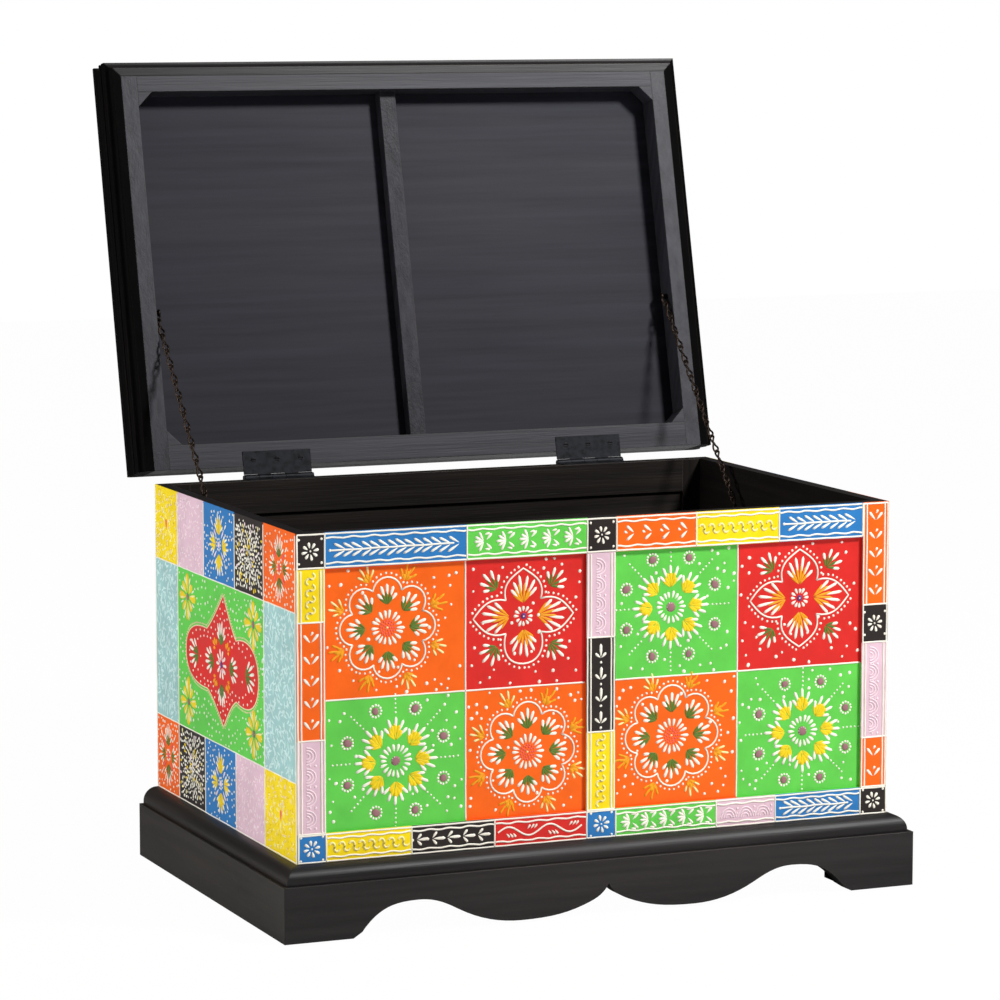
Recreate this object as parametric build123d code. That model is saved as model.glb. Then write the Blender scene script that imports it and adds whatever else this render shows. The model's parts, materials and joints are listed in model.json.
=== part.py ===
"""Wooden storage box: a panelled chest on a scalloped plinth, with a deep lid held open by two chains.

Millimetres, +Z up. The chest is drawn with x = 0 in the middle of its width, y = 0 on its front
face (y grows to the back) and z = 0 on the floor. The lid is drawn closed and then turned open
about the hinge axis. At the end everything moves along y, so that the origin lies on the floor
under the middle of the open box.
"""
import math
import os

from build123d import *

os.makedirs("parts", exist_ok=True)

# Carcass
BODY_W = 562.0          # width over the side boards
BODY_D = 374.0          # depth over the front and back frames
RIM_Z = 346.0           # height of the rim
WALL_T = 12.0           # thickness of every carcass board
WALL_Z = 45.0           # height at which the carcass boards start, on the corner blocks
TOP_RAIL_H = 31.0       # top rails, front and back
BOTTOM_RAIL_TOP = 89.0  # upper edge of the bottom rails
FRONT_STILE_W = 26.0
MUNTIN_W = 27.6
BACK_STILE_W = 30.0
PANEL_T = 6.0           # thickness of the panels
PANEL_SET = 3.0         # how far a panel's outer face lies behind its frame
GROOVE_D = 6.0          # depth of the panel grooves
GROOVE_FIT = 0.1        # play on each side of a panel in its groove
BOTTOM_T = 10.0         # bottom board
BOTTOM_Z = 63.0         # underside of the bottom board
CLEAT = 15.0            # square section of the cleats below it
CLEAT_PLAY = 0.5        # between the ends of neighbouring cleats

# Plinth
SKIRT_T = 18.6          # thickness of the front and side skirts, which stand outside the carcass
SKIRT_H = 48.6
BACK_SKIRT_T = 12.0
CORNER_BLOCK = 40.0
FOOT_W = 62.0           # width of the flat foot at each end of the front skirt
FOOT_STEP_Z = 5.0       # height at which the foot's steep side turns into the arch
FOOT_SLOPE = 8.0        # how far that steep side leans inward
ARCH_X = 178.0          # highest point of each arch, from the middle
ARCH_Z = 28.5
LOBE_X = 82.0           # lowest point of each lobe, from the middle
LOBE_Z = 2.0
CUSP_Z = 27.5           # the point between the two lobes
MOULD_H = 14.8          # quarter-round moulding on top of the skirt
MOULD_STEP = 4.0        # how far its foot stands back from the skirt's face
MOULD_FILLET = 2.0      # small upright at its foot

# Lid, drawn closed
LID_GAP = 1.2           # space between the rim and the closed lid
LID_BACK_SET = 11.0     # from the hinge axis to the lid's back edge
LID_D = 379.0           # depth of the lid's underside
LID_OVERHANG = 6.0      # how far the lid's underside reaches past the chest at each side
LID_T = 42.0            # full thickness
LID_BOARD_T = 18.0      # the board that closes the top
LID_EDGE_W = 8.0        # width of the moulded strip on the underside
LID_STILE_W = 15.0      # frame members inside the moulded strips
LID_BACK_RAIL_W = 23.0
LID_FLARE = 7.0         # how far the moulding stands out past the underside
LID_UNDERCUT_Z = 1.5    # the moulding's levels above the underside: start of the undercut
LID_BEAD_Z = 6.0        # start of the lower bead
LID_GROOVE_Z = 13.0     # start of the groove
LID_RIDGE_Z = 17.0      # start of the ridge above it
LID_COVE_Z = 21.0       # start of the cove
LID_CAP_Z = 32.4        # start of the top bead
LID_CAP_EDGE = 0.8      # small step below the top bead
LID_ROUND = 5.5         # rounding of the top edge
CENTRE_BAR_W = 16.0
CENTRE_BAR_T = 12.0
CENTRE_BAR_X = -10.0
GLUE_BLOCK = 14.0       # legs of the triangular blocks in the lid's inner corners
GLUE_BLOCK_H = 20.0

# Hinges
AXIS_OUT = 3.6          # hinge axis behind the chest's back face
LEAN_BACK = 13.8        # how far past upright the open lid leans, degrees
HINGE_IN = 122.0        # middle of each hinge from the chest's side
HINGE_L = 67.0
LEAF_T = 1.6
LEAF_PLAY = 0.05        # each leaf's inner face from the plane of the hinge axis
BARREL_R = 3.2
PIN_R = 1.4
PIN_HEAD_R = 2.6
PIN_HEAD_T = 1.0
KNUCKLES = 5
KNUCKLE_PLAY = 0.15     # half of the gap between two knuckles
PIN_FIXED_FIT = 0.02    # radial, in the box leaf
PIN_RUNNING_FIT = 0.06  # radial, in the lid leaf
BOX_LEAF_MARGIN = 0.8   # rim left in front of the box leaf
LID_LEAF_IN = 25.0      # from the axis to the lid leaf's edge
SCREW_PITCH = 23.3
LID_SCREW_IN = 17.0     # from the axis to the lid screws
SCREW_R = 1.2
SCREW_HEAD_R = 2.5
SCREW_L = 9.0
SLOT_W = 0.8
SLOT_D = 0.7

# Chains
CHAIN_IN = 9.0          # plane of each chain from the side board's inner face
BOX_EYE_Y = 237.5       # lower fixing, on the side board
BOX_EYE_Z = 280.0
LID_EYE_IN = 160.0      # upper fixing, from the hinge axis, on the lid's stile
LID_EYE_UP = 12.0       # upper fixing above the lid's underside
LINK_WIRE = 1.8
LINK_IN_W = 2.9         # inner width of a link
LINK_IN_L = 9.4         # inner length of a link
CHAIN_LINKS = 32
LOWER_LINKS = 12
CHAIN_SPLIT = 2.2       # gap where the lower and upper lengths of chain part
STUD_FIT = 0.1          # radial, between the fixing screw and its link
STUD_HEAD_R = 3.4
STUD_HEAD_T = 1.8
STUD_IN = 9.0           # length of the fixing screw in the wood

# Worked out from the sizes above
BODY_X = BODY_W / 2
INNER_X = BODY_X - WALL_T
BACK_IN_Y = BODY_D - WALL_T
SKIRT_X = BODY_X + SKIRT_T
AXIS_Y = BODY_D + AXIS_OUT
AXIS_Z = RIM_Z + LID_GAP / 2
LID_Z = RIM_Z + LID_GAP
LID_BACK_Y = AXIS_Y - LID_BACK_SET
LID_FRONT_Y = LID_BACK_Y - LID_D
LID_X = BODY_X + LID_OVERHANG
HINGE_X = BODY_X - HINGE_IN
CHAIN_X = INNER_X - CHAIN_IN
LID_RECESS = LID_T - LID_BOARD_T
OPEN_ANGLE = 90.0 + LEAN_BACK
HINGE_AXIS = Axis((0, AXIS_Y, AXIS_Z), (1, 0, 0))


def board(x0, x1, y0, y1, z0, z1):
    """A square-edged board between two corners."""
    size = Box(x1 - x0, y1 - y0, z1 - z0)
    return Pos((x0 + x1) / 2, (y0 + y1) / 2, (z0 + z1) / 2) * size


def rod(r, start, end):
    """A round bar between two points."""
    a = Vector(*start)
    b = Vector(*end)
    plane = Plane(origin=a, z_dir=b - a)
    return plane * extrude(Circle(r), (b - a).length)


def face_of(*lines):
    """The flat face inside a closed run of lines and curves."""
    return make_face([edge for line in lines for edge in line.edges()])


def mirrored(shape):
    """The same shape on the other side of the chest."""
    return mirror(shape, Plane.YZ)


def opened(shape):
    """A piece of the lid, turned from closed to open."""
    return shape.rotate(HINGE_AXIS, -OPEN_ANGLE)


def opened_point(y, z):
    """Where a point of the closed lid lies when it is open, as (y, z)."""
    turn = math.radians(-OPEN_ANGLE)
    dy = y - AXIS_Y
    dz = z - AXIS_Z
    return (
        AXIS_Y + dy * math.cos(turn) - dz * math.sin(turn),
        AXIS_Z + dy * math.sin(turn) + dz * math.cos(turn),
    )


def panel_and_groove(x0, x1, z0, z1, face_y, inward):
    """A panel for the opening x0..x1, z0..z1, and the space that its grooves leave for it."""
    near = face_y + inward * PANEL_SET
    far = near + inward * PANEL_T
    y0 = min(near, far)
    y1 = max(near, far)
    hold = GROOVE_D - GROOVE_FIT
    panel = board(x0 - hold, x1 + hold, y0, y1, z0 - hold, z1 + hold)
    groove = board(
        x0 - GROOVE_D,
        x1 + GROOVE_D,
        y0 - GROOVE_FIT,
        y1 + GROOVE_FIT,
        z0 - GROOVE_D,
        z1 + GROOVE_D,
    )
    return panel, groove


# Front: a frame of two rails, two stiles and a muntin round two sunk panels
def front_frame():
    rail_z = RIM_Z - TOP_RAIL_H
    stile_x = BODY_X - FRONT_STILE_W
    left_panel, left_groove = panel_and_groove(
        -stile_x, -MUNTIN_W / 2, BOTTOM_RAIL_TOP, rail_z, 0, 1
    )
    grooves = left_groove + mirrored(left_groove)
    left_stile = board(-BODY_X, -stile_x, 0, WALL_T, WALL_Z, RIM_Z) - grooves
    return {
        "front_top_rail": board(-stile_x, stile_x, 0, WALL_T, rail_z, RIM_Z) - grooves,
        "front_bottom_rail": board(-stile_x, stile_x, 0, WALL_T, WALL_Z, BOTTOM_RAIL_TOP) - grooves,
        "front_left_stile": left_stile,
        "front_right_stile": mirrored(left_stile),
        "front_muntin": board(-MUNTIN_W / 2, MUNTIN_W / 2, 0, WALL_T, BOTTOM_RAIL_TOP, rail_z)
        - grooves,
        "front_left_panel": left_panel,
        "front_right_panel": mirrored(left_panel),
    }


# Back: the same frame round one panel
def back_frame():
    rail_z = RIM_Z - TOP_RAIL_H
    stile_x = BODY_X - BACK_STILE_W
    panel, groove = panel_and_groove(-stile_x, stile_x, BOTTOM_RAIL_TOP, rail_z, BODY_D, -1)
    left_stile = board(-BODY_X, -stile_x, BACK_IN_Y, BODY_D, WALL_Z, RIM_Z) - groove
    return {
        "back_top_rail": board(-stile_x, stile_x, BACK_IN_Y, BODY_D, rail_z, RIM_Z) - groove,
        "back_bottom_rail": board(-stile_x, stile_x, BACK_IN_Y, BODY_D, WALL_Z, BOTTOM_RAIL_TOP)
        - groove,
        "back_left_stile": left_stile,
        "back_right_stile": mirrored(left_stile),
        "back_panel": panel,
    }


def sides_and_bottom():
    side = board(-BODY_X, -INNER_X, WALL_T, BACK_IN_Y, WALL_Z, RIM_Z)
    cleat_z = BOTTOM_Z - CLEAT
    front_cleat = board(-INNER_X, INNER_X, WALL_T, WALL_T + CLEAT, cleat_z, BOTTOM_Z)
    back_cleat = board(-INNER_X, INNER_X, BACK_IN_Y - CLEAT, BACK_IN_Y, cleat_z, BOTTOM_Z)
    side_start = WALL_T + CLEAT + CLEAT_PLAY
    side_end = BACK_IN_Y - CLEAT - CLEAT_PLAY
    side_cleat = board(-INNER_X, -INNER_X + CLEAT, side_start, side_end, cleat_z, BOTTOM_Z)
    floor = board(-INNER_X, INNER_X, WALL_T, BACK_IN_Y, BOTTOM_Z, BOTTOM_Z + BOTTOM_T)
    return {
        "left_side_board": side,
        "right_side_board": mirrored(side),
        "bottom_board": floor,
        "end_cleats": Compound(children=[front_cleat, back_cleat]),
        "side_cleats": Compound(children=[side_cleat, mirrored(side_cleat)]),
    }


# Plinth
def apron_edge():
    """Right half of the front skirt's lower outline, from the middle to the skirt's end."""
    foot_x = SKIRT_X - FOOT_W
    steep_x = foot_x - FOOT_SLOPE
    cusp_to_lobe = Spline(
        (0, CUSP_Z),
        (LOBE_X * 0.26, LOBE_Z + (CUSP_Z - LOBE_Z) * 0.36),
        (LOBE_X, LOBE_Z),
        tangents=[(0.45, -1.0), (1, 0)],
    )
    lobe_to_arch = Spline(
        (LOBE_X, LOBE_Z),
        (LOBE_X + (ARCH_X - LOBE_X) * 0.58, (LOBE_Z + ARCH_Z) / 2),
        (ARCH_X, ARCH_Z),
        tangents=[(1, 0), (1, 0)],
    )
    arch_to_foot = Spline(
        (ARCH_X, ARCH_Z),
        (ARCH_X + (steep_x - ARCH_X) * 0.65, FOOT_STEP_Z + (ARCH_Z - FOOT_STEP_Z) * 0.71),
        (steep_x, FOOT_STEP_Z),
        tangents=[(1, 0), (0.75, -1)],
    )
    foot = Polyline((steep_x, FOOT_STEP_Z), (foot_x, 0), (SKIRT_X, 0))
    return [cusp_to_lobe, lobe_to_arch, arch_to_foot, foot]


def mitre_wedge(height):
    """The room to the right of the right front mitre, where the side piece's end is."""
    reach = 2 * SKIRT_T
    corner = face_of(Polyline(
        (BODY_X - reach, reach),
        (BODY_X + reach, -reach),
        (BODY_X + reach, reach),
        (BODY_X - reach, reach),
    ))
    return extrude(corner, height)


def plinth():
    wedge = mitre_wedge(SKIRT_H + MOULD_H)
    right_of_mitre = wedge
    left_of_mitre = mirrored(wedge)

    # front skirt: the scalloped outline, drawn on the front face and carried to the back
    rest = Polyline((SKIRT_X, 0), (SKIRT_X, SKIRT_H), (0, SKIRT_H), (0, CUSP_Z))
    half = face_of(*apron_edge(), rest)
    right_half = extrude(Plane.XZ.offset(SKIRT_T) * half, -SKIRT_T)
    right_half -= right_of_mitre
    front_skirt = right_half + mirrored(right_half)

    side = board(BODY_X, SKIRT_X, -SKIRT_T, BODY_D, 0, SKIRT_H) & (
        right_of_mitre + board(BODY_X, SKIRT_X, 0, BODY_D, 0, SKIRT_H)
    )

    # moulding: a short upright and a quarter round, drawn as distance from the carcass and height
    foot = SKIRT_T - MOULD_STEP
    radius = MOULD_H - MOULD_FILLET
    top = foot - radius
    outline = Polyline((top, MOULD_H), (0, MOULD_H), (0, 0), (foot, 0), (foot, MOULD_FILLET))
    round_edge = RadiusArc((foot, MOULD_FILLET), (top, MOULD_H), -radius)
    section = face_of(outline, round_edge)
    front_bar = extrude(Plane((0, 0, SKIRT_H), x_dir=(0, -1, 0), z_dir=(-1, 0, 0)) * section, SKIRT_X)
    front_bar -= left_of_mitre
    front_bar += mirrored(front_bar)
    side_bar = extrude(
        Plane((BODY_X, -SKIRT_T, SKIRT_H), x_dir=(1, 0, 0), z_dir=(0, 1, 0)) * mirror(section, Plane.XZ),
        BODY_D + SKIRT_T,
    )
    side_bar &= right_of_mitre + board(BODY_X, SKIRT_X, 0, BODY_D, SKIRT_H, SKIRT_H + MOULD_H)

    near = board(-BODY_X, -BODY_X + CORNER_BLOCK, 0, CORNER_BLOCK, 0, WALL_Z)
    back_y = BODY_D - BACK_SKIRT_T
    far = board(-BODY_X, -BODY_X + CORNER_BLOCK, back_y - CORNER_BLOCK, back_y, 0, WALL_Z)
    return {
        "front_skirt": front_skirt,
        "right_skirt": side,
        "left_skirt": mirrored(side),
        "back_skirt": board(-BODY_X, BODY_X, back_y, BODY_D, 0, WALL_Z),
        "front_moulding": front_bar,
        "right_moulding": side_bar,
        "left_moulding": mirrored(side_bar),
        "corner_blocks": Compound(children=[near, mirrored(near), far, mirrored(far)]),
    }


# Lid
def lid_edge_section():
    """Section of the lid's moulded edge, as distance outside the underside's edge and height."""
    groove_x = LID_FLARE - 2.6
    bead_x = LID_FLARE - 1.0
    ridge_x = LID_FLARE - 0.6
    step_z = 0.6
    lower_fillet = Polyline(
        (-LID_EDGE_W, LID_T),
        (-LID_EDGE_W, 0),
        (0, 0),
        (0, LID_UNDERCUT_Z),
    )
    undercut = RadiusArc((0, LID_UNDERCUT_Z), (bead_x, LID_BEAD_Z), 6.0)
    lower_bead = Polyline(
        (bead_x, LID_BEAD_Z),
        (ridge_x, LID_GROOVE_Z),
        (groove_x, LID_GROOVE_Z + 2 * step_z),
        (groove_x, LID_RIDGE_Z - step_z),
        (ridge_x, LID_RIDGE_Z),
        (ridge_x, LID_COVE_Z - step_z),
        (ridge_x - 1, LID_COVE_Z),
    )
    cap_x = LID_FLARE - LID_CAP_EDGE / 2
    cove = RadiusArc((ridge_x - 1, LID_COVE_Z), (cap_x, LID_CAP_Z), 8.0)
    upper_bead = Polyline(
        (cap_x, LID_CAP_Z),
        (LID_FLARE, LID_CAP_Z + LID_CAP_EDGE),
        (LID_FLARE, LID_T - LID_ROUND),
    )
    rounding = RadiusArc((LID_FLARE, LID_T - LID_ROUND), (LID_FLARE - LID_ROUND, LID_T), -LID_ROUND)
    top = Line((LID_FLARE - LID_ROUND, LID_T), (-LID_EDGE_W, LID_T))
    return face_of(lower_fillet, undercut, lower_bead, cove, upper_bead, rounding, top)


def lid():
    section = lid_edge_section()
    reach = LID_EDGE_W + LID_FLARE
    corner = face_of(Polyline(
        (LID_X - reach, LID_FRONT_Y + reach),
        (LID_X + reach, LID_FRONT_Y - reach),
        (LID_X + reach, LID_FRONT_Y + reach),
        (LID_X - reach, LID_FRONT_Y + reach),
    ))
    wedge = Pos(0, 0, LID_Z) * extrude(corner, LID_T)
    front_strip = extrude(
        Plane((0, LID_FRONT_Y, LID_Z), x_dir=(0, -1, 0), z_dir=(-1, 0, 0)) * section, LID_X + reach
    )
    front_strip -= mirrored(wedge)
    front_strip += mirrored(front_strip)
    side_strip = extrude(
        Plane((LID_X, LID_FRONT_Y - reach, LID_Z), x_dir=(1, 0, 0), z_dir=(0, 1, 0))
        * mirror(section, Plane.XZ),
        LID_D + reach,
    )
    side_strip &= wedge + board(
        LID_X - LID_EDGE_W, LID_X + reach, LID_FRONT_Y + LID_EDGE_W, LID_BACK_Y, LID_Z, LID_Z + LID_T
    )

    board_x = LID_X - LID_EDGE_W
    stile_x = board_x - LID_STILE_W
    front_y = LID_FRONT_Y + LID_EDGE_W
    rail_y = front_y + LID_STILE_W
    back_y = LID_BACK_Y - LID_BACK_RAIL_W
    top_z = LID_Z + LID_RECESS
    left_stile = board(-board_x, -stile_x, front_y, LID_BACK_Y, LID_Z, top_z)
    glue_face = face_of(Polyline((0, 0), (GLUE_BLOCK, 0), (0, GLUE_BLOCK), (0, 0)))
    glue = extrude(glue_face, GLUE_BLOCK_H)
    front_glue = Pos(-stile_x, rail_y, LID_Z) * glue
    back_glue = Pos(-stile_x, back_y, LID_Z) * mirror(glue, Plane.XZ)
    return {
        "lid_front_moulding": front_strip,
        "lid_right_moulding": side_strip,
        "lid_left_moulding": mirrored(side_strip),
        "lid_top_board": board(-board_x, board_x, front_y, LID_BACK_Y, top_z, LID_Z + LID_T),
        "lid_left_stile": left_stile,
        "lid_right_stile": mirrored(left_stile),
        "lid_front_rail": board(-stile_x, stile_x, front_y, rail_y, LID_Z, top_z),
        "lid_back_rail": board(-stile_x, stile_x, back_y, LID_BACK_Y, LID_Z, top_z),
        "lid_centre_bar": board(
            CENTRE_BAR_X - CENTRE_BAR_W / 2,
            CENTRE_BAR_X + CENTRE_BAR_W / 2,
            rail_y,
            back_y,
            top_z - CENTRE_BAR_T,
            top_z,
        ),
        "lid_glue_blocks": Compound(
            children=[front_glue, mirrored(front_glue), back_glue, mirrored(back_glue)]
        ),
    }


# Hinges, drawn closed: the box leaf lies on the rim and the lid leaf on the lid's underside
def countersunk_screw(x, y, z, up):
    """A slotted countersunk screw with its head's face at z, pointing up (1) or down (-1)."""
    head_h = SCREW_HEAD_R - SCREW_R
    profile = Polyline(
        (0, 0),
        (SCREW_HEAD_R, 0),
        (SCREW_R, head_h),
        (SCREW_R, SCREW_L - SCREW_R),
        (0, SCREW_L),
        (0, 0),
    )
    body = revolve(Plane.XZ * face_of(profile), Axis.Z)
    slot = board(-SCREW_HEAD_R, SCREW_HEAD_R, -SLOT_W / 2, SLOT_W / 2, -1, SLOT_D)
    solid = body - slot
    cutter = body
    if up < 0:
        solid = mirror(solid, Plane.XY)
        cutter = mirror(cutter, Plane.XY)
    return Pos(x, y, z) * solid, Pos(x, y, z) * cutter


def knuckle(index, x_mid, bore):
    step = HINGE_L / KNUCKLES
    x0 = x_mid - HINGE_L / 2 + index * step + KNUCKLE_PLAY
    x1 = x0 + step - 2 * KNUCKLE_PLAY
    barrel = rod(BARREL_R, (x0, AXIS_Y, AXIS_Z), (x1, AXIS_Y, AXIS_Z))
    hole = rod(bore, (x0 - 1, AXIS_Y, AXIS_Z), (x1 + 1, AXIS_Y, AXIS_Z))
    return x0, x1, barrel, hole


def hinge(x_mid):
    """One butt hinge: box leaf, lid leaf, pin, and the screws with the room they need."""
    x0 = x_mid - HINGE_L / 2
    x1 = x_mid + HINGE_L / 2
    box_y = BACK_IN_Y + BOX_LEAF_MARGIN
    lid_y = AXIS_Y - LID_LEAF_IN
    box_top = AXIS_Z - LEAF_PLAY
    lid_low = AXIS_Z + LEAF_PLAY
    # the plates stop clear of the barrel, and short webs reach each leaf's own knuckles
    plate_end = AXIS_Y - BARREL_R - 2 * KNUCKLE_PLAY
    box_leaf = board(x0, x1, box_y, plate_end, box_top - LEAF_T, box_top)
    lid_leaf = board(x0, x1, lid_y, plate_end, lid_low, lid_low + LEAF_T)
    for index in range(KNUCKLES):
        on_box = index % 2 == 0
        bore = PIN_R + (PIN_FIXED_FIT if on_box else PIN_RUNNING_FIT)
        k0, k1, barrel, hole = knuckle(index, x_mid, bore)
        if on_box:
            web = board(k0, k1, plate_end - 1, AXIS_Y, box_top - LEAF_T, box_top)
            box_leaf = box_leaf + web + barrel - hole
        else:
            web = board(k0, k1, plate_end - 1, AXIS_Y, lid_low, lid_low + LEAF_T)
            lid_leaf = lid_leaf + web + barrel - hole
    pin = rod(PIN_R, (x0, AXIS_Y, AXIS_Z), (x1, AXIS_Y, AXIS_Z))
    for end, out in ((x0, -1), (x1, 1)):
        pin += rod(
            PIN_HEAD_R,
            (end - out * KNUCKLE_PLAY, AXIS_Y, AXIS_Z),
            (end + out * PIN_HEAD_T, AXIS_Y, AXIS_Z),
        )
    box_screws = []
    lid_screws = []
    box_screw_y = (box_y + plate_end) / 2 - 0.5
    for step in (-1, 0, 1):
        x = x_mid + step * SCREW_PITCH
        box_screws.append(countersunk_screw(x, box_screw_y, box_top, -1))
        lid_screws.append(countersunk_screw(x, AXIS_Y - LID_SCREW_IN, lid_low, 1))
    for _, cutter in box_screws:
        box_leaf -= cutter
    for _, cutter in lid_screws:
        lid_leaf -= cutter
    return box_leaf, lid_leaf, pin, box_screws, lid_screws


def barrel_room(x_mid):
    """The space that the barrel and its pin heads need in the wood beside them."""
    reach = HINGE_L / 2 + PIN_HEAD_T + 1
    room_r = BARREL_R + 0.5
    return rod(room_r, (x_mid - reach, AXIS_Y, AXIS_Z), (x_mid + reach, AXIS_Y, AXIS_Z))


# Chains, drawn with the lid open
def link(wide_x):
    """One link along +X at the origin: a flat ring with faceted ends, in the XY or the XZ plane."""
    outer = SlotOverall(LINK_IN_L + 2 * LINK_WIRE, LINK_IN_W + 2 * LINK_WIRE)
    inner = SlotOverall(LINK_IN_L, LINK_IN_W)
    ring = Pos(0, 0, -LINK_WIRE / 2) * extrude(faceted(outer) - faceted(inner), LINK_WIRE)
    if wide_x:
        return ring
    return ring.rotate(Axis.X, 90)


def faceted(slot):
    """A slot outline whose round ends are cut into short flats."""
    box = slot.bounding_box()
    radius = box.size.Y / 2
    centre = box.size.X / 2 - radius
    points = []
    for side in (1, -1):
        for degrees in (-90, -60, -30, 0, 30, 60, 90):
            turn = math.radians(degrees)
            points.append((side * (centre + radius * math.cos(turn)), side * radius * math.sin(turn)))
    return face_of(Polyline(*points, close=True))


def run_of_links(start, toward, count, pitch):
    """A straight run of links. The first one loops the fixing at start."""
    along = Vector(0, toward[0] - start[0], toward[1] - start[1]).normalized()
    first = (LINK_IN_L - LINK_IN_W) / 2
    across = Vector(1, 0, 0)
    plane = Plane(origin=(0, 0, 0), x_dir=along, z_dir=across)
    flat = link(True)
    edgewise = link(False)
    links = []
    for n in range(count):
        place = Vector(0, start[0], start[1]) + along * (first + n * pitch)
        shape = flat if n % 2 == 0 else edgewise
        links.append(Pos(place.X, place.Y, place.Z) * (plane * shape))
    return links


def stud(wall_x, y, z):
    """A round-headed screw on the right-hand side: it stands out of the wood at wall_x."""
    shank_r = LINK_IN_W / 2 - STUD_FIT
    head_x = CHAIN_X - LINK_WIRE / 2 - 0.4
    shank = rod(shank_r, (head_x, y, z), (wall_x + STUD_IN, y, z))
    head = rod(STUD_HEAD_R, (head_x - STUD_HEAD_T, y, z), (head_x, y, z))
    edge = head.faces().sort_by(Axis.X)[0].edges()
    head = fillet(edge, STUD_HEAD_T * 0.55)
    # the sleeve keeps the link off the wood
    sleeve_r = STUD_HEAD_R * 0.7
    link_side = CHAIN_X + LINK_WIRE / 2 + 0.4
    sleeve = rod(sleeve_r, (link_side, y, z), (wall_x, y, z))
    return shank + head + sleeve


def chains():
    """Both chains, in four lengths, and their fixing screws."""
    low = (BOX_EYE_Y, BOX_EYE_Z)
    high = opened_point(AXIS_Y - LID_EYE_IN, LID_Z + LID_EYE_UP)
    total = math.dist(low, high)
    tip = LINK_IN_L / 2 + LINK_WIRE
    first = (LINK_IN_L - LINK_IN_W) / 2
    pitch = (total - CHAIN_SPLIT - 2 * (first + tip)) / (CHAIN_LINKS - 2)
    lower = run_of_links(low, high, LOWER_LINKS, pitch)
    upper = run_of_links(high, low, CHAIN_LINKS - LOWER_LINKS, pitch)
    right_lower = Pos(CHAIN_X, 0, 0) * Compound(children=lower)
    right_upper = Pos(CHAIN_X, 0, 0) * Compound(children=upper)
    box_stud = stud(INNER_X, BOX_EYE_Y, BOX_EYE_Z)
    lid_stud = opened(
        stud(LID_X - LID_EDGE_W - LID_STILE_W, AXIS_Y - LID_EYE_IN, LID_Z + LID_EYE_UP)
    )
    print("chain: length", round(total, 2), "pitch", round(pitch, 3), "upper fixing", high)
    return {
        "chain_right_lower": right_lower,
        "chain_right_upper": right_upper,
        "chain_left_lower": mirrored(right_lower),
        "chain_left_upper": mirrored(right_upper),
        "chain_box_screws": Compound(children=[box_stud, mirrored(box_stud)]),
        "chain_lid_screws": Compound(children=[lid_stud, mirrored(lid_stud)]),
    }


def main():
    parts = {}
    parts.update(front_frame())
    parts.update(back_frame())
    parts.update(sides_and_bottom())
    parts.update(plinth())
    lid_parts = lid()

    # hinges and the housings that they are let into
    box_screws = []
    lid_screws = []
    for name, x_mid in (("left", -HINGE_X), ("right", HINGE_X)):
        box_leaf, lid_leaf, pin, on_box, on_lid = hinge(x_mid)
        x0 = x_mid - HINGE_L / 2
        x1 = x_mid + HINGE_L / 2
        box_housing = board(x0, x1, BACK_IN_Y + BOX_LEAF_MARGIN, BODY_D + 1,
                            AXIS_Z - LEAF_PLAY - LEAF_T, RIM_Z + 1)
        lid_housing = board(x0, x1, AXIS_Y - LID_LEAF_IN, AXIS_Y,
                            LID_Z - 1, AXIS_Z + LEAF_PLAY + LEAF_T)
        room = barrel_room(x_mid)
        parts["back_top_rail"] -= box_housing + room
        lid_parts["lid_back_rail"] -= lid_housing + room
        for solid, cutter in on_box:
            parts["back_top_rail"] -= cutter
            box_screws.append(solid)
        for solid, cutter in on_lid:
            lid_parts["lid_back_rail"] -= cutter
            lid_screws.append(solid)
        parts[f"hinge_{name}_box_leaf"] = box_leaf
        parts[f"hinge_{name}_pin"] = pin
        lid_parts[f"hinge_{name}_lid_leaf"] = lid_leaf
    parts["hinge_box_screws"] = Compound(children=box_screws)
    lid_parts["hinge_lid_screws"] = Compound(children=lid_screws)

    for name, shape in lid_parts.items():
        parts[name] = opened(shape)

    # the chains' screws are driven into the side boards and the lid's stiles
    parts.update(chains())
    for name in ("left_side_board", "right_side_board"):
        parts[name] -= parts["chain_box_screws"]
    for name in ("lid_left_stile", "lid_right_stile", "lid_left_moulding", "lid_right_moulding"):
        parts[name] -= parts["chain_lid_screws"]

    low_y = min(shape.bounding_box().min.Y for shape in parts.values())
    high_y = max(shape.bounding_box().max.Y for shape in parts.values())
    shift = -(low_y + high_y) / 2
    print("pieces", len(parts), "shift along y", shift)
    print("hinge axis", AXIS_Y + shift, AXIS_Z, "open angle", OPEN_ANGLE)
    print("box eye", BOX_EYE_Y + shift, BOX_EYE_Z)
    for name, shape in parts.items():
        export_step(Pos(0, shift, 0) * shape, f"parts/{name}.step")


main()
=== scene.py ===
# %% [markdown]
# # A painted storage chest
# The chest's boards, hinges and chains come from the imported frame, and keep their shapes. This lesson
# gives them their finishes, then lays the painted squares and the raised, piped strokes on the front
# and the sides, and builds the twisted chains. Everything is in metres, in the frame's own place.

# %% Load the frame
import json
import math
import random

import bpy
from mathutils import Matrix, Vector


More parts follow.
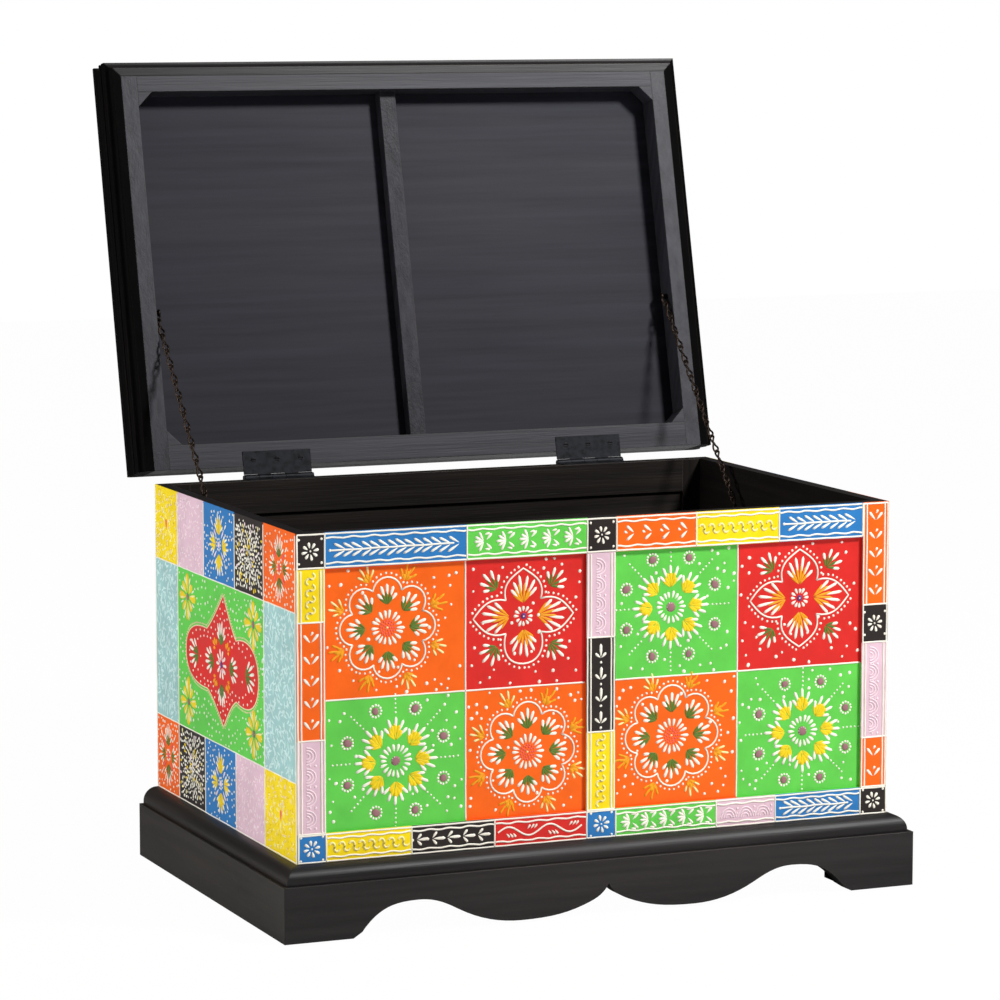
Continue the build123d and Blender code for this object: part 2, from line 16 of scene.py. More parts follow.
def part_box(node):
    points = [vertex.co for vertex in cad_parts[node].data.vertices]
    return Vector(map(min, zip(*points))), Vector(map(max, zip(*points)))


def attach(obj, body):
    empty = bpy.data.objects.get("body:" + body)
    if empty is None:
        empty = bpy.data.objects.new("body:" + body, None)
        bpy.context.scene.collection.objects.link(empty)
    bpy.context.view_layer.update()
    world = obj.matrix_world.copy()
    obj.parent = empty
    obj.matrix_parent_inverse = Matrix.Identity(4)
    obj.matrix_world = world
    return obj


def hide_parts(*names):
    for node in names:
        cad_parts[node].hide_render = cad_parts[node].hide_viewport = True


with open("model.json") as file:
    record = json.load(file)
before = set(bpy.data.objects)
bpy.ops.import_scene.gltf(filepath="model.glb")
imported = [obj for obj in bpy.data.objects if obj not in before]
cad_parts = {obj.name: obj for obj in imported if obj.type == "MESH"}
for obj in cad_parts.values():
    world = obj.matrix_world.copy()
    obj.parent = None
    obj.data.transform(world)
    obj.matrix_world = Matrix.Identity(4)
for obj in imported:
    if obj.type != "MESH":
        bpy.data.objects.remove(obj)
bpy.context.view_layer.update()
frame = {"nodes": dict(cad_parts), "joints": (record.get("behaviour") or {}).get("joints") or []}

nodes = frame["nodes"]
MM = 0.001

# %% [markdown]
# ## Where the painted faces lie
# The painter works on three faces: the front and the two sides. Each is treated as a flat canvas in
# millimetres, with u to the right, v up and w outward, as someone who faces it sees it. One matrix per
# canvas then turns flat work into its place on the chest. Reading the faces from the frame, and not
# typing them in, keeps the paint on the wood if the chest changes.

# %% Find the faces
chest_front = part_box("front_top_rail")[0].y
chest_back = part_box("back_top_rail")[1].y
side_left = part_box("left_side_board")[0].x
side_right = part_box("right_side_board")[1].x
panel_level = (chest_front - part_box("front_left_panel")[0].y) / MM

CANVAS = {
    "front": Matrix(((MM, 0, 0, 0), (0, 0, -MM, chest_front), (0, MM, 0, 0), (0, 0, 0, 1))),
    "left": Matrix(((0, 0, -MM, side_left), (-MM, 0, 0, chest_front), (0, MM, 0, 0), (0, 0, 0, 1))),
    "right": Matrix(((0, 0, MM, side_right), (MM, 0, 0, chest_front), (0, MM, 0, 0), (0, 0, 0, 1))),
}
print("front face y", round(chest_front, 4), "panels set back", round(-panel_level, 2), "mm")

# %% [markdown]
# ## Small helpers for materials
# Every finish here is a node tree on the Principled shader. Its patterns read Object coordinates, so
# they stay on the wood in any pose. Short helpers keep the trees readable. The first of them adds a
# node with its values, and the others add what every finish needs, such as noise stretched along an
# axis, a blend of two colours, or a mask of the worn edges.

# %% Material helpers
def srgb(code):
    """A colour from its six-digit code, as the linear values that shaders use."""
    values = [int(code[i:i + 2], 16) / 255 for i in (0, 2, 4)]
    linear = [v / 12.92 if v <= 0.04045 else ((v + 0.055) / 1.055) ** 2.4 for v in values]
    return (*linear, 1.0)


def scaled(colour, amount):
    return tuple(min(1.0, c * amount) for c in colour[:3]) + (1.0,)


def new_object(name, data):
    """An object that holds the data, placed in the scene."""
    obj = bpy.data.objects.new(name, data)
    bpy.context.scene.collection.objects.link(obj)
    return obj


def new_finish(name):
    mat = bpy.data.materials.new(name)
    mat.use_nodes = True
    tree = mat.node_tree
    return mat, tree, tree.nodes["Principled BSDF"]


def add(tree, kind, values=None, **settings):
    """Adds a node, sets its options, and sets or links its input sockets by name or number."""
    node = tree.nodes.new(kind)
    for key, value in settings.items():
        setattr(node, key, value)
    for key, value in (values or {}).items():
        if isinstance(value, bpy.types.NodeSocket):
            tree.links.new(value, node.inputs[key])
        else:
            node.inputs[key].default_value = value
    return node


def stretched_noise(tree, stretch, detail=4.0, rough=0.55, turn=0.0):
    """Noise whose features are stretched: a small number along an axis makes long features there."""
    place = add(tree, "ShaderNodeTexCoord").outputs["Object"]
    spun = add(tree, "ShaderNodeMapping", {"Vector": place, "Rotation": (turn, 0, 0)}).outputs[0]
    wide = add(tree, "ShaderNodeMapping", {"Vector": spun, "Scale": stretch}).outputs[0]
    values = {"Vector": wide, "Scale": 1.0, "Detail": detail, "Roughness": rough}
    return add(tree, "ShaderNodeTexNoise", values).outputs["Fac"]


def spread(tree, value, low, high, to_low=0.0, to_high=1.0):
    values = {"Value": value, "From Min": low, "From Max": high, "To Min": to_low, "To Max": to_high}
    return add(tree, "ShaderNodeMapRange", values).outputs[0]


def math_node(tree, operation, first, second):
    return add(tree, "ShaderNodeMath", {0: first, 1: second}, operation=operation).outputs[0]


def blend_colours(tree, amount, first, second):
    node = add(tree, "ShaderNodeMix", data_type="RGBA", blend_type="MIX")
    for index, value in ((0, amount), (6, first), (7, second)):
        if isinstance(value, bpy.types.NodeSocket):
            tree.links.new(value, node.inputs[index])
        else:
            node.inputs[index].default_value = value
    return node.outputs[2]


def bump(tree, height, strength, distance, normal=None):
    values = {"Height": height, "Strength": strength, "Distance": distance}
    if normal is not None:
        values["Normal"] = normal
    return add(tree, "ShaderNodeBump", values).outputs[0]


def set_surface(tree, shader, colour, cloud, smoothest, roughest, normal):
    """Links a finish's colour and relief, and lets its roughness drift with the cloud."""
    tree.links.new(colour, shader.inputs["Base Color"])
    tree.links.new(spread(tree, cloud, 0.3, 0.7, smoothest, roughest), shader.inputs["Roughness"])
    tree.links.new(normal, shader.inputs["Normal"])


def edge_wear_and_sheen(tree, radius):
    """A rounded normal for crisp edges, and a mask that is 1 along them."""
    rounded = add(tree, "ShaderNodeBevel", {"Radius": radius}, samples=4).outputs[0]
    plain = add(tree, "ShaderNodeNewGeometry").outputs["True Normal"]
    dot = add(tree, "ShaderNodeVectorMath", operation="DOT_PRODUCT")
    tree.links.new(rounded, dot.inputs[0])
    tree.links.new(plain, dot.inputs[1])
    return rounded, spread(tree, dot.outputs["Value"], 0.995, 0.90)


print("material helpers ready")

# %% [markdown]
# ## Black lacquer and stained wood
# The lid, the plinth and the inside are wood under a thin black stain. The grain still shows as fine
# long furrows, the colour drifts between black and warm brown, and the edges are a little lighter,
# partly from handling and partly as a painted highlight along them. Some colours also carry painted
# light: the lid's side mouldings get a darker, duller lacquer as painted shade, and the lid's inner
# boards get a lighter bluish grey as painted sheen, with the frame lighter than the panel. One function
# makes all of them, because only the colours, the direction of the grain and the polish differ between
# a lid board and a cleat.

# %% Wood finishes
LEAN = math.radians(13.8)  # the open lid leans back, and so does its grain
GRAIN = {
    "x": (5, 130, 130),
    "y": (130, 5, 130),
    "z": (130, 130, 5),
}


def stained_wood(name, dark, light, grain, roughness, furrows, turn=0.0, wear_and_sheen_colour="4a423c", polish=0.22):
    mat, tree, shader = new_finish(name)
    shader.inputs["Specular IOR Level"].default_value = polish
    stretch = GRAIN[grain]
    fine = tuple(s * 4.5 if s > 10 else s * 3 for s in stretch)
    broad = tuple(s * 0.10 if s > 10 else s * 0.5 for s in stretch)
    bands = stretched_noise(tree, stretch, detail=5, turn=turn)
    clouds = stretched_noise(tree, broad, detail=3, turn=turn)
    pores = stretched_noise(tree, fine, detail=3, rough=0.7, turn=turn)
    figure = math_node(tree, "MULTIPLY", bands, clouds)
    amount = spread(tree, figure, 0.12, 0.42)
    colour = blend_colours(tree, amount, srgb(dark), srgb(light))
    # Lighter along the edges: partly rubbed wear, partly a painted highlight laid along them.
    rounded, edge = edge_wear_and_sheen(tree, 0.0011)
    patchy = math_node(tree, "MULTIPLY", edge, spread(tree, clouds, 0.40, 0.62, 0.1, 0.8))
    colour = blend_colours(tree, patchy, colour, srgb(wear_and_sheen_colour))
    relief = bump(tree, pores, furrows, 0.0004, rounded)
    relief = bump(tree, bands, furrows * 0.8, 0.0006, relief)
    set_surface(tree, shader, colour, clouds, roughness - 0.07, roughness + 0.09, relief)
    return mat


lacquer = {
    "x": stained_wood("black lacquer, grain across", "151414", "292626", "x", 0.40, 0.30),
    "y": stained_wood("black lacquer, grain front to back", "191615", "2d2825", "y", 0.40, 0.30),
    # The lid's side mouldings: a darker, duller copy of the same black lacquer, which paints in their shade.
    "lid": stained_wood("black lacquer, grain up the lid", "030303", "080707", "z", 0.60, 0.30, -LEAN,
                        wear_and_sheen_colour="2a2522", polish=0.02),
}
# The lid's inner boards are lighter and more bluish grey than the other inside boards, over the same dark
# stain:
# painted sheen, a reflection laid into their colour, with the frame lighter than the panel as painted light.
lid_inside = {
    axis: stained_wood(f"lid frame, grain {run}", "24242a", "3d3d44", axis, 0.48, 0.5, turn, polish=0.28)
    for axis, run, turn in (("x", "across", 0.0), ("z", "up the lid", -LEAN))
}
# The panel and the bar carry the same painted bluish sheen in their colour.
lid_panel = stained_wood("lid panel", "1c1c24", "2b2b34", "x", 0.52, 0.10, polish=0.155)
bar_wood = stained_wood("rough bar", "202026", "3a3940", "z", 0.50, 1.0, -LEAN, polish=0.20)
inner = {
    axis: stained_wood(f"inside boards, grain {run}", "110e0d", "231e1b", axis, 0.46, 0.7, polish=0.18)
    for axis, run in (("x", "across"), ("y", "front to back"), ("z", "upright"))
}
print("wood finishes:", len(lacquer) + len(lid_inside) + len(inner) + 2)

# %% [markdown]
# ## Which board gets which finish
# A frame is convincing when the grain follows each board's length. Rails and skirts run across, the
# side boards and cleats run front to back, and stiles stand upright or lean back with the lid.

# %% Dress the boards
def dress(material, *names):
    """Gives carried-over nodes one material."""
    for name in names:
        mesh = nodes[name].data
        mesh.materials.clear()
        mesh.materials.append(material)


dress(lacquer["x"], "front_skirt", "back_skirt", "front_moulding", "lid_front_moulding")
dress(lacquer["y"], "left_skirt", "right_skirt", "left_moulding", "right_moulding")
# The lid's side mouldings take the darker lacquer, painted shade.
dress(lacquer["lid"], "lid_left_moulding", "lid_right_moulding")
dress(lid_inside["x"], "lid_front_rail", "lid_back_rail", "lid_glue_blocks")
dress(lid_inside["z"], "lid_left_stile", "lid_right_stile")
dress(lid_panel, "lid_top_board")
dress(bar_wood, "lid_centre_bar")
dress(inner["x"], "front_top_rail", "front_bottom_rail", "back_top_rail", "back_bottom_rail",
      "back_panel", "bottom_board", "end_cleats", "front_left_panel", "front_right_panel")
dress(inner["y"], "left_side_board", "right_side_board", "side_cleats")
dress(inner["z"], "front_left_stile", "front_right_stile", "front_muntin", "back_left_stile",
      "back_right_stile", "corner_blocks")
print("boards dressed")

# %% [markdown]
# ## Iron and bronze
# The hinges and their screws are blackened iron, dull and slightly pitted, lighter on the edges. The
# screw heads are a darker copy of that iron, painted shade of the hollows they sit in. The chains and
# their screws are dark bronze, smoother and warmer. Both are metallic shaders whose colour and roughness
# vary with noise, because an even value looks like plastic.

# %% Metal finishes
def metal(name, dark, light, roughness, pitting):
    mat, tree, shader = new_finish(name)
    cloud = stretched_noise(tree, (180, 180, 180), detail=5)
    pits = stretched_noise(tree, (1400, 1400, 1400), detail=2)
    rounded, edge = edge_wear_and_sheen(tree, 0.0004)
    amount = spread(tree, cloud, 0.35, 0.65)
    colour = blend_colours(tree, amount, srgb(dark), srgb(light))
    colour = blend_colours(tree, edge, colour, scaled(srgb(light), 1.6))
    shader.inputs["Metallic"].default_value = 0.85
    relief = bump(tree, pits, pitting, 0.0002, rounded)
    set_surface(tree, shader, colour, cloud, roughness - 0.08, roughness + 0.12, relief)
    return mat


black_iron = metal("blackened iron", "101113", "242529", 0.50, 0.6)
# Darker than the hinge leaves: blackened iron plus painted shade of the recesses the screw heads sit in.
screw_steel = metal("screw heads", "0c0c0e", "1d1d20", 0.42, 0.3)
dark_bronze = metal("dark bronze", "15100e", "31261f", 0.42, 0.2)
for side in ("left", "right"):
    for piece in ("box_leaf", "lid_leaf", "pin"):
        dress(black_iron, f"hinge_{side}_{piece}")
dress(screw_steel, "hinge_box_screws", "hinge_lid_screws")
dress(dark_bronze, "chain_box_screws", "chain_lid_screws")
print("metal finishes: 3")

# %% [markdown]
# ## Poster-bright paints
# The squares are brushed on in opaque, slightly glossy paint. Close up the colour is a touch uneven
# and the brush has left fine streaks. The piped strokes are the same paint, squeezed out thicker, so
# they share this recipe.

# %% Paints
UNEVEN = 0.06     # how far the colour drifts
STREAKS = 0.25    # how strongly the brush marks show
GLOSS = 0.42      # the paint's roughness


def paint(name, code):
    mat, tree, shader = new_finish(name)
    shader.inputs["Specular IOR Level"].default_value = 0.25
    cloud = stretched_noise(tree, (38, 38, 38), detail=4)
    brush = stretched_noise(tree, (900, 900, 110), detail=2, rough=0.6)
    colour = srgb(code)
    amount = spread(tree, cloud, 0.3, 0.7)
    mixed = blend_colours(tree, amount, scaled(colour, 1 - UNEVEN * 1.6), scaled(colour, 1 + UNEVEN))
    relief = bump(tree, brush, STREAKS, 0.00015)
    set_surface(tree, shader, mixed, cloud, GLOSS - 0.05, GLOSS + 0.1, relief)
    return mat


PAINT_CODES = {
    "orange": ("FA6608", "paint_orange"),
    "red": ("DA2620", "paint_red"),
    "green": ("62CD4E", "paint_green"),
    "blue": ("2A79BC", "paint_blue"),
    "yellow": ("FCDC08", "paint_yellow"),
    "pink": ("E3C1CF", "paint_pink"),
    "black": ("27201E", "paint_black"),
    "aqua": ("A2CCCA", "paint_aqua"),
    "white": ("FFF6E8", "paint_white"),
    "lemon": ("F3D21A", "paint_yellow"),
    "amber": ("F2A41C", "paint_orange"),
    "leaf": ("5E7A2C", "paint_green"),
    "coral": ("F2606A", "paint_red"),
    "bead": ("9E7076", "paint_pink"),
    "violet": ("6A3B7C", "paint_blue"),
    "pale_pink": ("F6DFE6", "paint_pink"),
    "pale_aqua": ("D2EEEC", "paint_aqua"),
    "cream": ("FFEFA8", "paint_white"),
    "beige": ("F4D9B4", "paint_white"),
}
paints = {name: paint(f"{name} paint", code) for name, (code, _) in PAINT_CODES.items()}
print("paints:", len(paints))

# %% [markdown]
# ## Flat colour fields
# Each painted square is a coat of paint a quarter of a millimetre thick, lying on its board. All the
# squares of one colour on one face are collected first and built as one mesh, which keeps the list of
# pieces short. A coat is a closed slab whose top edge is drawn in a little, like a real paint edge.

# %% Colour fields
COAT = 0.25   # thickness of a coat of paint, mm
SUNK = 0.30   # how far it reaches into the wood below, mm
fields = {}


def field(face, colour, u0, u1, v0, v1, level=0.0):
    """One painted rectangle on a canvas. level is where its board's face lies."""
    fields.setdefault((face, colour), []).append((u0, u1, v0, v1, level - SUNK, level + COAT))


def reveal(face, colour, u0, u1, v0, v1, level):
    """A strip of paint on the narrow step between the frame's face and the panel."""
    fields.setdefault((face, colour), []).append((u0, u1, v0, v1, level, -0.2))


def piece_from(name, verts, faces, material, body, matrix=None):
    """A mesh piece in its place, dressed, riding on a body."""
    mesh = bpy.data.meshes.new(name)
    mesh.from_pydata(verts, [], faces)
    if matrix is not None:
        mesh.transform(matrix)
    mesh.update()
    mesh.materials.append(material)
    obj = new_object(name, mesh)
    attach(obj, body)
    return obj


def build_fields():
    for (face, colour), rects in sorted(fields.items()):
        verts = []
        faces = []
        for u0, u1, v0, v1, w0, w1 in rects:
            n = len(verts)
            inset = min(0.12, (u1 - u0) * 0.3, (v1 - v0) * 0.3)
            ring = [(u0, v0), (u1, v0), (u1, v1), (u0, v1)]
            top = [(u0 + inset, v0 + inset), (u1 - inset, v0 + inset),
                   (u1 - inset, v1 - inset), (u0 + inset, v1 - inset)]
            verts += [(u, v, w0) for u, v in ring]
            verts += [(u, v, w1 - inset * 0.8) for u, v in ring]
            verts += [(u, v, w1) for u, v in top]
            faces.append((n + 3, n + 2, n + 1, n))
            faces.append((n + 8, n + 9, n + 10, n + 11))
            for k in range(4):
                m = (k + 1) % 4
                faces.append((n + k, n + m, n + 4 + m, n + 4 + k))
                faces.append((n + 4 + k, n + 4 + m, n + 8 + m, n + 8 + k))
        piece_from(f"{face}_{colour}_fields", verts, faces, paints[colour], "chest",
                   CANVAS[face])
    print("colour fields:", sum(len(r) for r in fields.values()), "in", len(fields), "pieces")


# %% [markdown]
# ## The pen
# The white figures are piped like icing: dots, teardrops that start thin and end in a round head, and
# long beads of paint. The pen only notes where each one goes. Geometry Nodes gives all of them their
# shape later, one small domed drop for each point and one rounded bead for each line, so thousands of
# strokes stay light and all can be changed in one place.

# %% The pen
draw = random.Random(11)
strokes = {}
PLINTH_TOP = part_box("front_moulding")[1].z / MM
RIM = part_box("front_top_rail")[1].z / MM
DEPTH = (chest_back - chest_front) / MM


class Pen:
    """Notes the strokes on one face. level is the height of the board that it works on."""

    def __init__(self, face, level=0.0):
        self.face = face
        self.level = level + COAT
        self.taken = []

    def note(self, kind, colour, item):
        strokes.setdefault((self.face, kind, colour), []).append(item)

    def fits(self, u, v, margin):
        """Whether a stroke's end stays clear of the edges of a side board."""
        if self.face == "front":
            return True
        from_front = u if self.face == "right" else -u
        return margin < from_front < DEPTH - margin and PLINTH_TOP + margin < v < RIM - margin

    def dot(self, u, v, r=0.9, colour="white", rise=0.5):
        self.taken.append((u, v))
        u += draw.uniform(-0.2, 0.2)
        v += draw.uniform(-0.2, 0.2)
        item = (u, v, self.level, draw.uniform(0, 3), r * draw.uniform(0.9, 1.2), r, rise)
        self.note("dots", colour, item)

    def drop(self, u, v, turn, length, width=1.7, colour="white", rise=0.55):
        """A teardrop whose thin end is at (u, v) and whose round head is length away."""
        if not (self.fits(u, v, 2.0) and self.fits(*polar(u, v, turn, length * 1.1), 2.2)):
            return
        turn += draw.uniform(-0.05, 0.05)
        length *= draw.uniform(0.93, 1.08)
        mid_u = u + math.cos(turn) * length / 2
        mid_v = v + math.sin(turn) * length / 2
        self.taken.append((mid_u, mid_v))
        self.note("drops", colour, (mid_u, mid_v, self.level, turn, length / 2, width / 2, rise))

    def ray(self, u, v, turn, reach, *shape):
        """A teardrop that points away from (u, v), with its thin end reach away from there."""
        self.drop(*polar(u, v, turn, reach), turn, *shape)

    def line(self, points, colour="white", width=1.25):
        self.note("lines", colour, (points, self.level - width * 0.12, width))


def polar(u, v, turn, reach):
    return u + math.cos(turn) * reach, v + math.sin(turn) * reach


def straight(pen, u0, v0, u1, v1, width, wave=0.0):
    """A long bead between two points, drawn by hand: it strays a little, or waves."""
    length = math.hypot(u1 - u0, v1 - v0)
    count = max(2, int(length / (2.6 if wave else 9)))
    along = ((u1 - u0) / length, (v1 - v0) / length)
    phase = draw.uniform(0, 6)
    points = []
    for i in range(count + 1):
        s = length * i / count
        off = draw.uniform(-0.14, 0.14) + wave * math.sin(phase + s / 2.9)
        points.append((u0 + along[0] * s - along[1] * off, v0 + along[1] * s + along[0] * off))
    pen.line(points, "white", width)


print("pen ready")

# %% [markdown]
# ## Strokes in groups
# The painter works in small groups of strokes: a fan, a ring of dots, a sun, a row of dots beside a
# line, and loose dots in what is left. Each is a function, so that a figure reads as a list of groups.

# %% Groups of strokes
def fan(pen, u, v, turn, out, count, spread_deg, length, width, shade=None, tip="white"):
    """Teardrops that open from one point, over streaks of a second colour. The point is out away
    from (u, v), in the direction in which the fan opens."""
    u, v = polar(u, v, turn, out)
    for i in range(count):
        side = 2 * i / (count - 1) - 1
        angle = turn + math.radians(spread_deg) / 2 * side
        reach = length * (1 - 0.28 * side * side)
        if shade:
            pen.ray(u, v, angle + 0.08, reach * 0.02, reach * 0.66, width * 0.85, shade, 0.35)
        start = 0.36 if shade else 0.30
        pen.ray(u, v, angle, reach * start, reach * (1 - start), width, tip)


def ring(pen, u, v, reach, count, r=0.8, colour="white"):
    for i in range(count):
        pen.dot(*polar(u, v, math.tau * i / count, reach), r, colour)


def sun(pen, u, v, inner, outer, count, width=1.5, colour="white"):
    """Strokes all round a centre, with their heads outward."""
    for i in range(count):
        angle = math.tau * (i + draw.uniform(-0.1, 0.1)) / count
        pen.ray(u, v, angle, inner, (outer - inner) * draw.uniform(0.85, 1.1), width, colour)


def dots_beside(pen, outline, offset, spacing, r=0.75, colour="white"):
    """A row of dots that runs round a closed outline, a little outside it."""
    count = len(outline)
    carried = 0.0
    for i in range(count):
        a = outline[i]
        b = outline[(i + 1) % count]
        step = math.dist(a, b)
        if step < 1e-6:
            continue
        du, dv = (b[0] - a[0]) / step, (b[1] - a[1]) / step
        while carried < step:
            p = (a[0] + du * carried + dv * offset, a[1] + dv * carried - du * offset)
            if min(math.dist(p, q) for q in outline) > offset * 0.86:
                pen.dot(*p, r, colour)
            carried += spacing
        carried -= step


def scatter(pen, u0, u1, v0, v1, count, gap=4.6, r=0.9, colour="white"):
    """Loose dots in the space that the other strokes leave."""
    placed = 0
    for _ in range(count * 25):
        if placed == count:
            break
        u = draw.uniform(u0 + 2.5, u1 - 2.5)
        v = draw.uniform(v0 + 2.5, v1 - 2.5)
        if all(math.hypot(u - a, v - b) > gap for a, b in pen.taken):
            pen.dot(u, v, r * draw.uniform(0.8, 1.25), colour)
            placed += 1


print("groups of strokes ready")

# %% [markdown]
# ## The three large figures
# Three figures fill the panels: a rosette of eight lobes on orange, a four-petalled flower on red, and
# a burst of leaf sprays on green. Each is a small set of rules, such as eight lobes with a fan of
# strokes in each, which is also how the painter repeats them. A little chance in every stroke keeps
# the repeats from looking stamped.

# %% Figures for the panels
def rosette(pen, u, v, size):
    lobes = 8
    lobe_r = size * 0.305
    lobe_at = size - lobe_r
    half = math.pi / lobes
    meet = lobe_at * math.cos(half) + math.sqrt(lobe_r ** 2 - (lobe_at * math.sin(half)) ** 2)
    sweep = math.atan2(meet * math.sin(half), meet * math.cos(half) - lobe_at)
    outline = []
    for k in range(lobes):
        turn = math.pi / 2 - math.tau * k / lobes
        cu, cv = polar(u, v, turn, lobe_at)
        for i in range(11):
            outline.append(polar(cu, cv, turn + sweep * (1 - 2 * i / 10), lobe_r))
        fan(pen, u, v, turn, size * 0.45, 5, 84, size * 0.43, 2.8, "leaf")
        spray = turn + half
        pale = k % 4 in (1, 2)
        fan(pen, u, v, spray, size * 0.97, 4, 80, 17, 2.0, "amber", "amber" if pale else "cream")
        fan(pen, u, v, spray, size * 0.97, 3, 60, 9, 2.6, None, "amber")
    outline.append(outline[0])
    pen.line(outline, "white", 1.9)
    outline = outline[:-1]
    dots_beside(pen, outline[::-1], 3.5, 3.7, 1.05)
    sun(pen, u, v, size * 0.175, size * 0.36, 18, 2.6)
    ring(pen, u, v, size * 0.145, 15, 0.8, "coral")
    ring(pen, u, v, size * 0.10, 10, 0.8, "coral")
    ring(pen, u, v, size * 0.05, 5, 0.8, "coral")
    pen.dot(u, v, 1.0, "cream")


def bezier(a, b, c, d, count):
    points = []
    for i in range(count):
        t = i / count
        s = 1 - t
        points.append(tuple(s ** 3 * a[k] + 3 * s * s * t * b[k] + 3 * s * t * t * c[k] + t ** 3 * d[k]
                            for k in (0, 1)))
    return points


def petal_outline(u, v, reach, notch, bulge, blunt):
    """Four petals, clockwise from the top. blunt lists the petals whose ends are round."""
    outline = []
    for k in range(4):
        shoulder, neck = (-bulge, notch * 2.0), (-bulge * 0.5, reach * 0.84)
        if k in blunt:
            shoulder, neck = (-bulge, notch * 1.9), (-bulge * 0.75, reach)
        half = bezier((-notch, notch), shoulder, neck, (0, reach), 9)
        other = [(-x, y) for x, y in half[::-1]]
        turn = -math.pi / 2 * k
        for x, y in half + [(0, reach)] + other:
            outline.append((u + x * math.cos(turn) - y * math.sin(turn),
                            v + x * math.sin(turn) + y * math.cos(turn)))
    return outline


def four_petals(pen, u, v, size, wide, blunt=()):
    outline = petal_outline(u, v, size, size * 0.35, size * 0.44, blunt)
    outline = [(u + (a - u) * wide, b) for a, b in outline]
    pen.line(outline + [outline[0]], "white", 1.9)
    dots_beside(pen, outline[::-1], 3.7, 4.1, 1.15)
    for k in range(4):
        turn = math.pi / 2 - math.pi / 2 * k
        reach = size * (wide if k % 2 else 1.0)
        fan(pen, u, v, turn, reach * 0.27, 6, 88, reach * 0.60, 2.7, "amber")
        corner = turn + math.pi / 4
        fan(pen, u, v, corner, size * 0.84, 5, 105, 19, 2.7, "leaf")
    sun(pen, u, v, 4.0, 9.4, 12, 2.5)
    pen.dot(u, v, 2.8, "violet", 0.5)
    pen.dot(u, v, 0.9, "white", 1.0)


def burst(pen, u, v, size):
    for k in range(8):
        turn = math.pi / 2 + math.tau * k / 8
        fan(pen, u, v, turn, size * 0.36, 5, 88, size * 0.45, 2.7, "lemon")
        fan(pen, u, v, turn, size * 0.37, 5, 70, size * 0.30, 3.4, None, "lemon")
        for i in range(5):
            pen.dot(*polar(u, v, turn, size * 0.86 + 3.9 * i), 0.95)
        between = turn + math.pi / 8
        pu, pv = polar(u, v, between, size * 0.98)
        pen.dot(pu, pv, 3.6, "bead", 0.7)
        ring(pen, pu, pv, 2.0, 7, 0.65, "pale_pink")
        ring(pen, pu, pv, 5.2, 12, 1.1)
    sun(pen, u, v, 7.6, size * 0.31, 18, 2.6)
    pen.dot(u, v, 4.6, "bead", 0.8)
    ring(pen, u, v, 3.2, 10, 0.7, "pale_pink")
    ring(pen, u, v, 1.4, 5, 0.6, "pale_pink")


def small_flower(pen, u, v, reach=8.0, corner=10.2):
    for k in range(8):
        angle = math.tau * k / 8 + 0.2
        pen.ray(u, v, angle, 2.4, reach - 2.4, 2.5)
    pen.dot(u, v, 0.9)
    for du in (-1, 1):
        for dv in (-1, 1):
            pen.dot(u + du * corner, v + dv * corner, 1.2)


print("large figures ready")

# %% [markdown]
# ## Figures for the narrow bands
# The frame is painted in short bands, each with a running figure: ferns on blue, sprays on green,
# chevrons on orange, a scroll on yellow, scallops on pink, arrow sprigs on black and a vine on red.
# Every figure is written for a band that runs to the right, and a Strip turns it for the upright ones.

# %% Figures for the bands
class Strip:
    """A pen in a band's own directions: s runs along the band, t across it from its middle."""

    def __init__(self, pen, u0, u1, v0, v1):
        self.pen = pen
        self.upright = (v1 - v0) > (u1 - u0)
        self.length = max(v1 - v0, u1 - u0)
        self.half = min(v1 - v0, u1 - u0) / 2
        self.start = ((u0 + u1) / 2, v1) if self.upright else (u0, (v0 + v1) / 2)
        self.spin = -math.pi / 2 if self.upright else 0.0

    def at(self, s, t):
        if self.upright:
            return self.start[0] + t, self.start[1] - s
        return self.start[0] + s, self.start[1] + t

    def dot(self, s, t, r=0.9, colour="white"):
        self.pen.dot(*self.at(s, t), r, colour)

    def drop(self, s, t, turn, length, width=1.7, colour="white"):
        self.pen.drop(*self.at(s, t), turn + self.spin, length, width, colour)

    def line(self, points, colour="white", width=1.2):
        self.pen.line([self.at(s, t) for s, t in points], colour, width)

    def steps(self, pitch, margin):
        """Evenly spaced places along the band."""
        count = max(1, round((self.length - 2 * margin) / pitch))
        return [margin + (self.length - 2 * margin) * (i + 0.5) / count for i in range(count)]


def fern(strip):
    strip.line([(6 + (strip.length - 18) * i / 8, draw.uniform(-0.4, 0.4)) for i in range(9)])
    strip.dot(5, 0, 1.3)
    for s in strip.steps(7.8, 9):
        for side in (1, -1):
            strip.drop(s + 6, side * 0.4, math.pi - side * 0.50, 12.6, 2.2)


def sprays(strip):
    for s in strip.steps(19, 4):
        for angle in (2.05, 2.6, 3.14, 3.68, 4.23):
            strip.drop(s + 1, 0, angle, 9.2, 2.3)
        for side in (1, -1):
            strip.drop(s + 3, side * 1.0, side * 0.80, 8.0, 2.2)
            strip.drop(s + 1.5, side * 6.0, side * 0.2, 5.5, 2.0)


def chevrons(strip):
    for s in strip.steps(17.5 if strip.upright else 15.3, 4):
        for side in (1, -1):
            strip.drop(s + 4, side * 0.4, math.pi - side * 0.72, 9.6, 2.5)
        strip.drop(s - 2.0, 0, math.pi - 0.5, 3.8, 2.2)


def scroll(strip):
    """A chain of small S curves, each of two arcs that curl opposite ways."""
    for s in strip.steps(9.0, 3):
        points = []
        for i in range(13):
            a = math.pi * (0.9 - 1.25 * i / 12)
            points.append((s - 2.3 + 2.5 * math.cos(a), 1.1 + 2.8 * math.sin(a)))
        points += [(2 * s - a, -b) for a, b in points[-2::-1]]
        strip.line(points, "cream", 2.1)


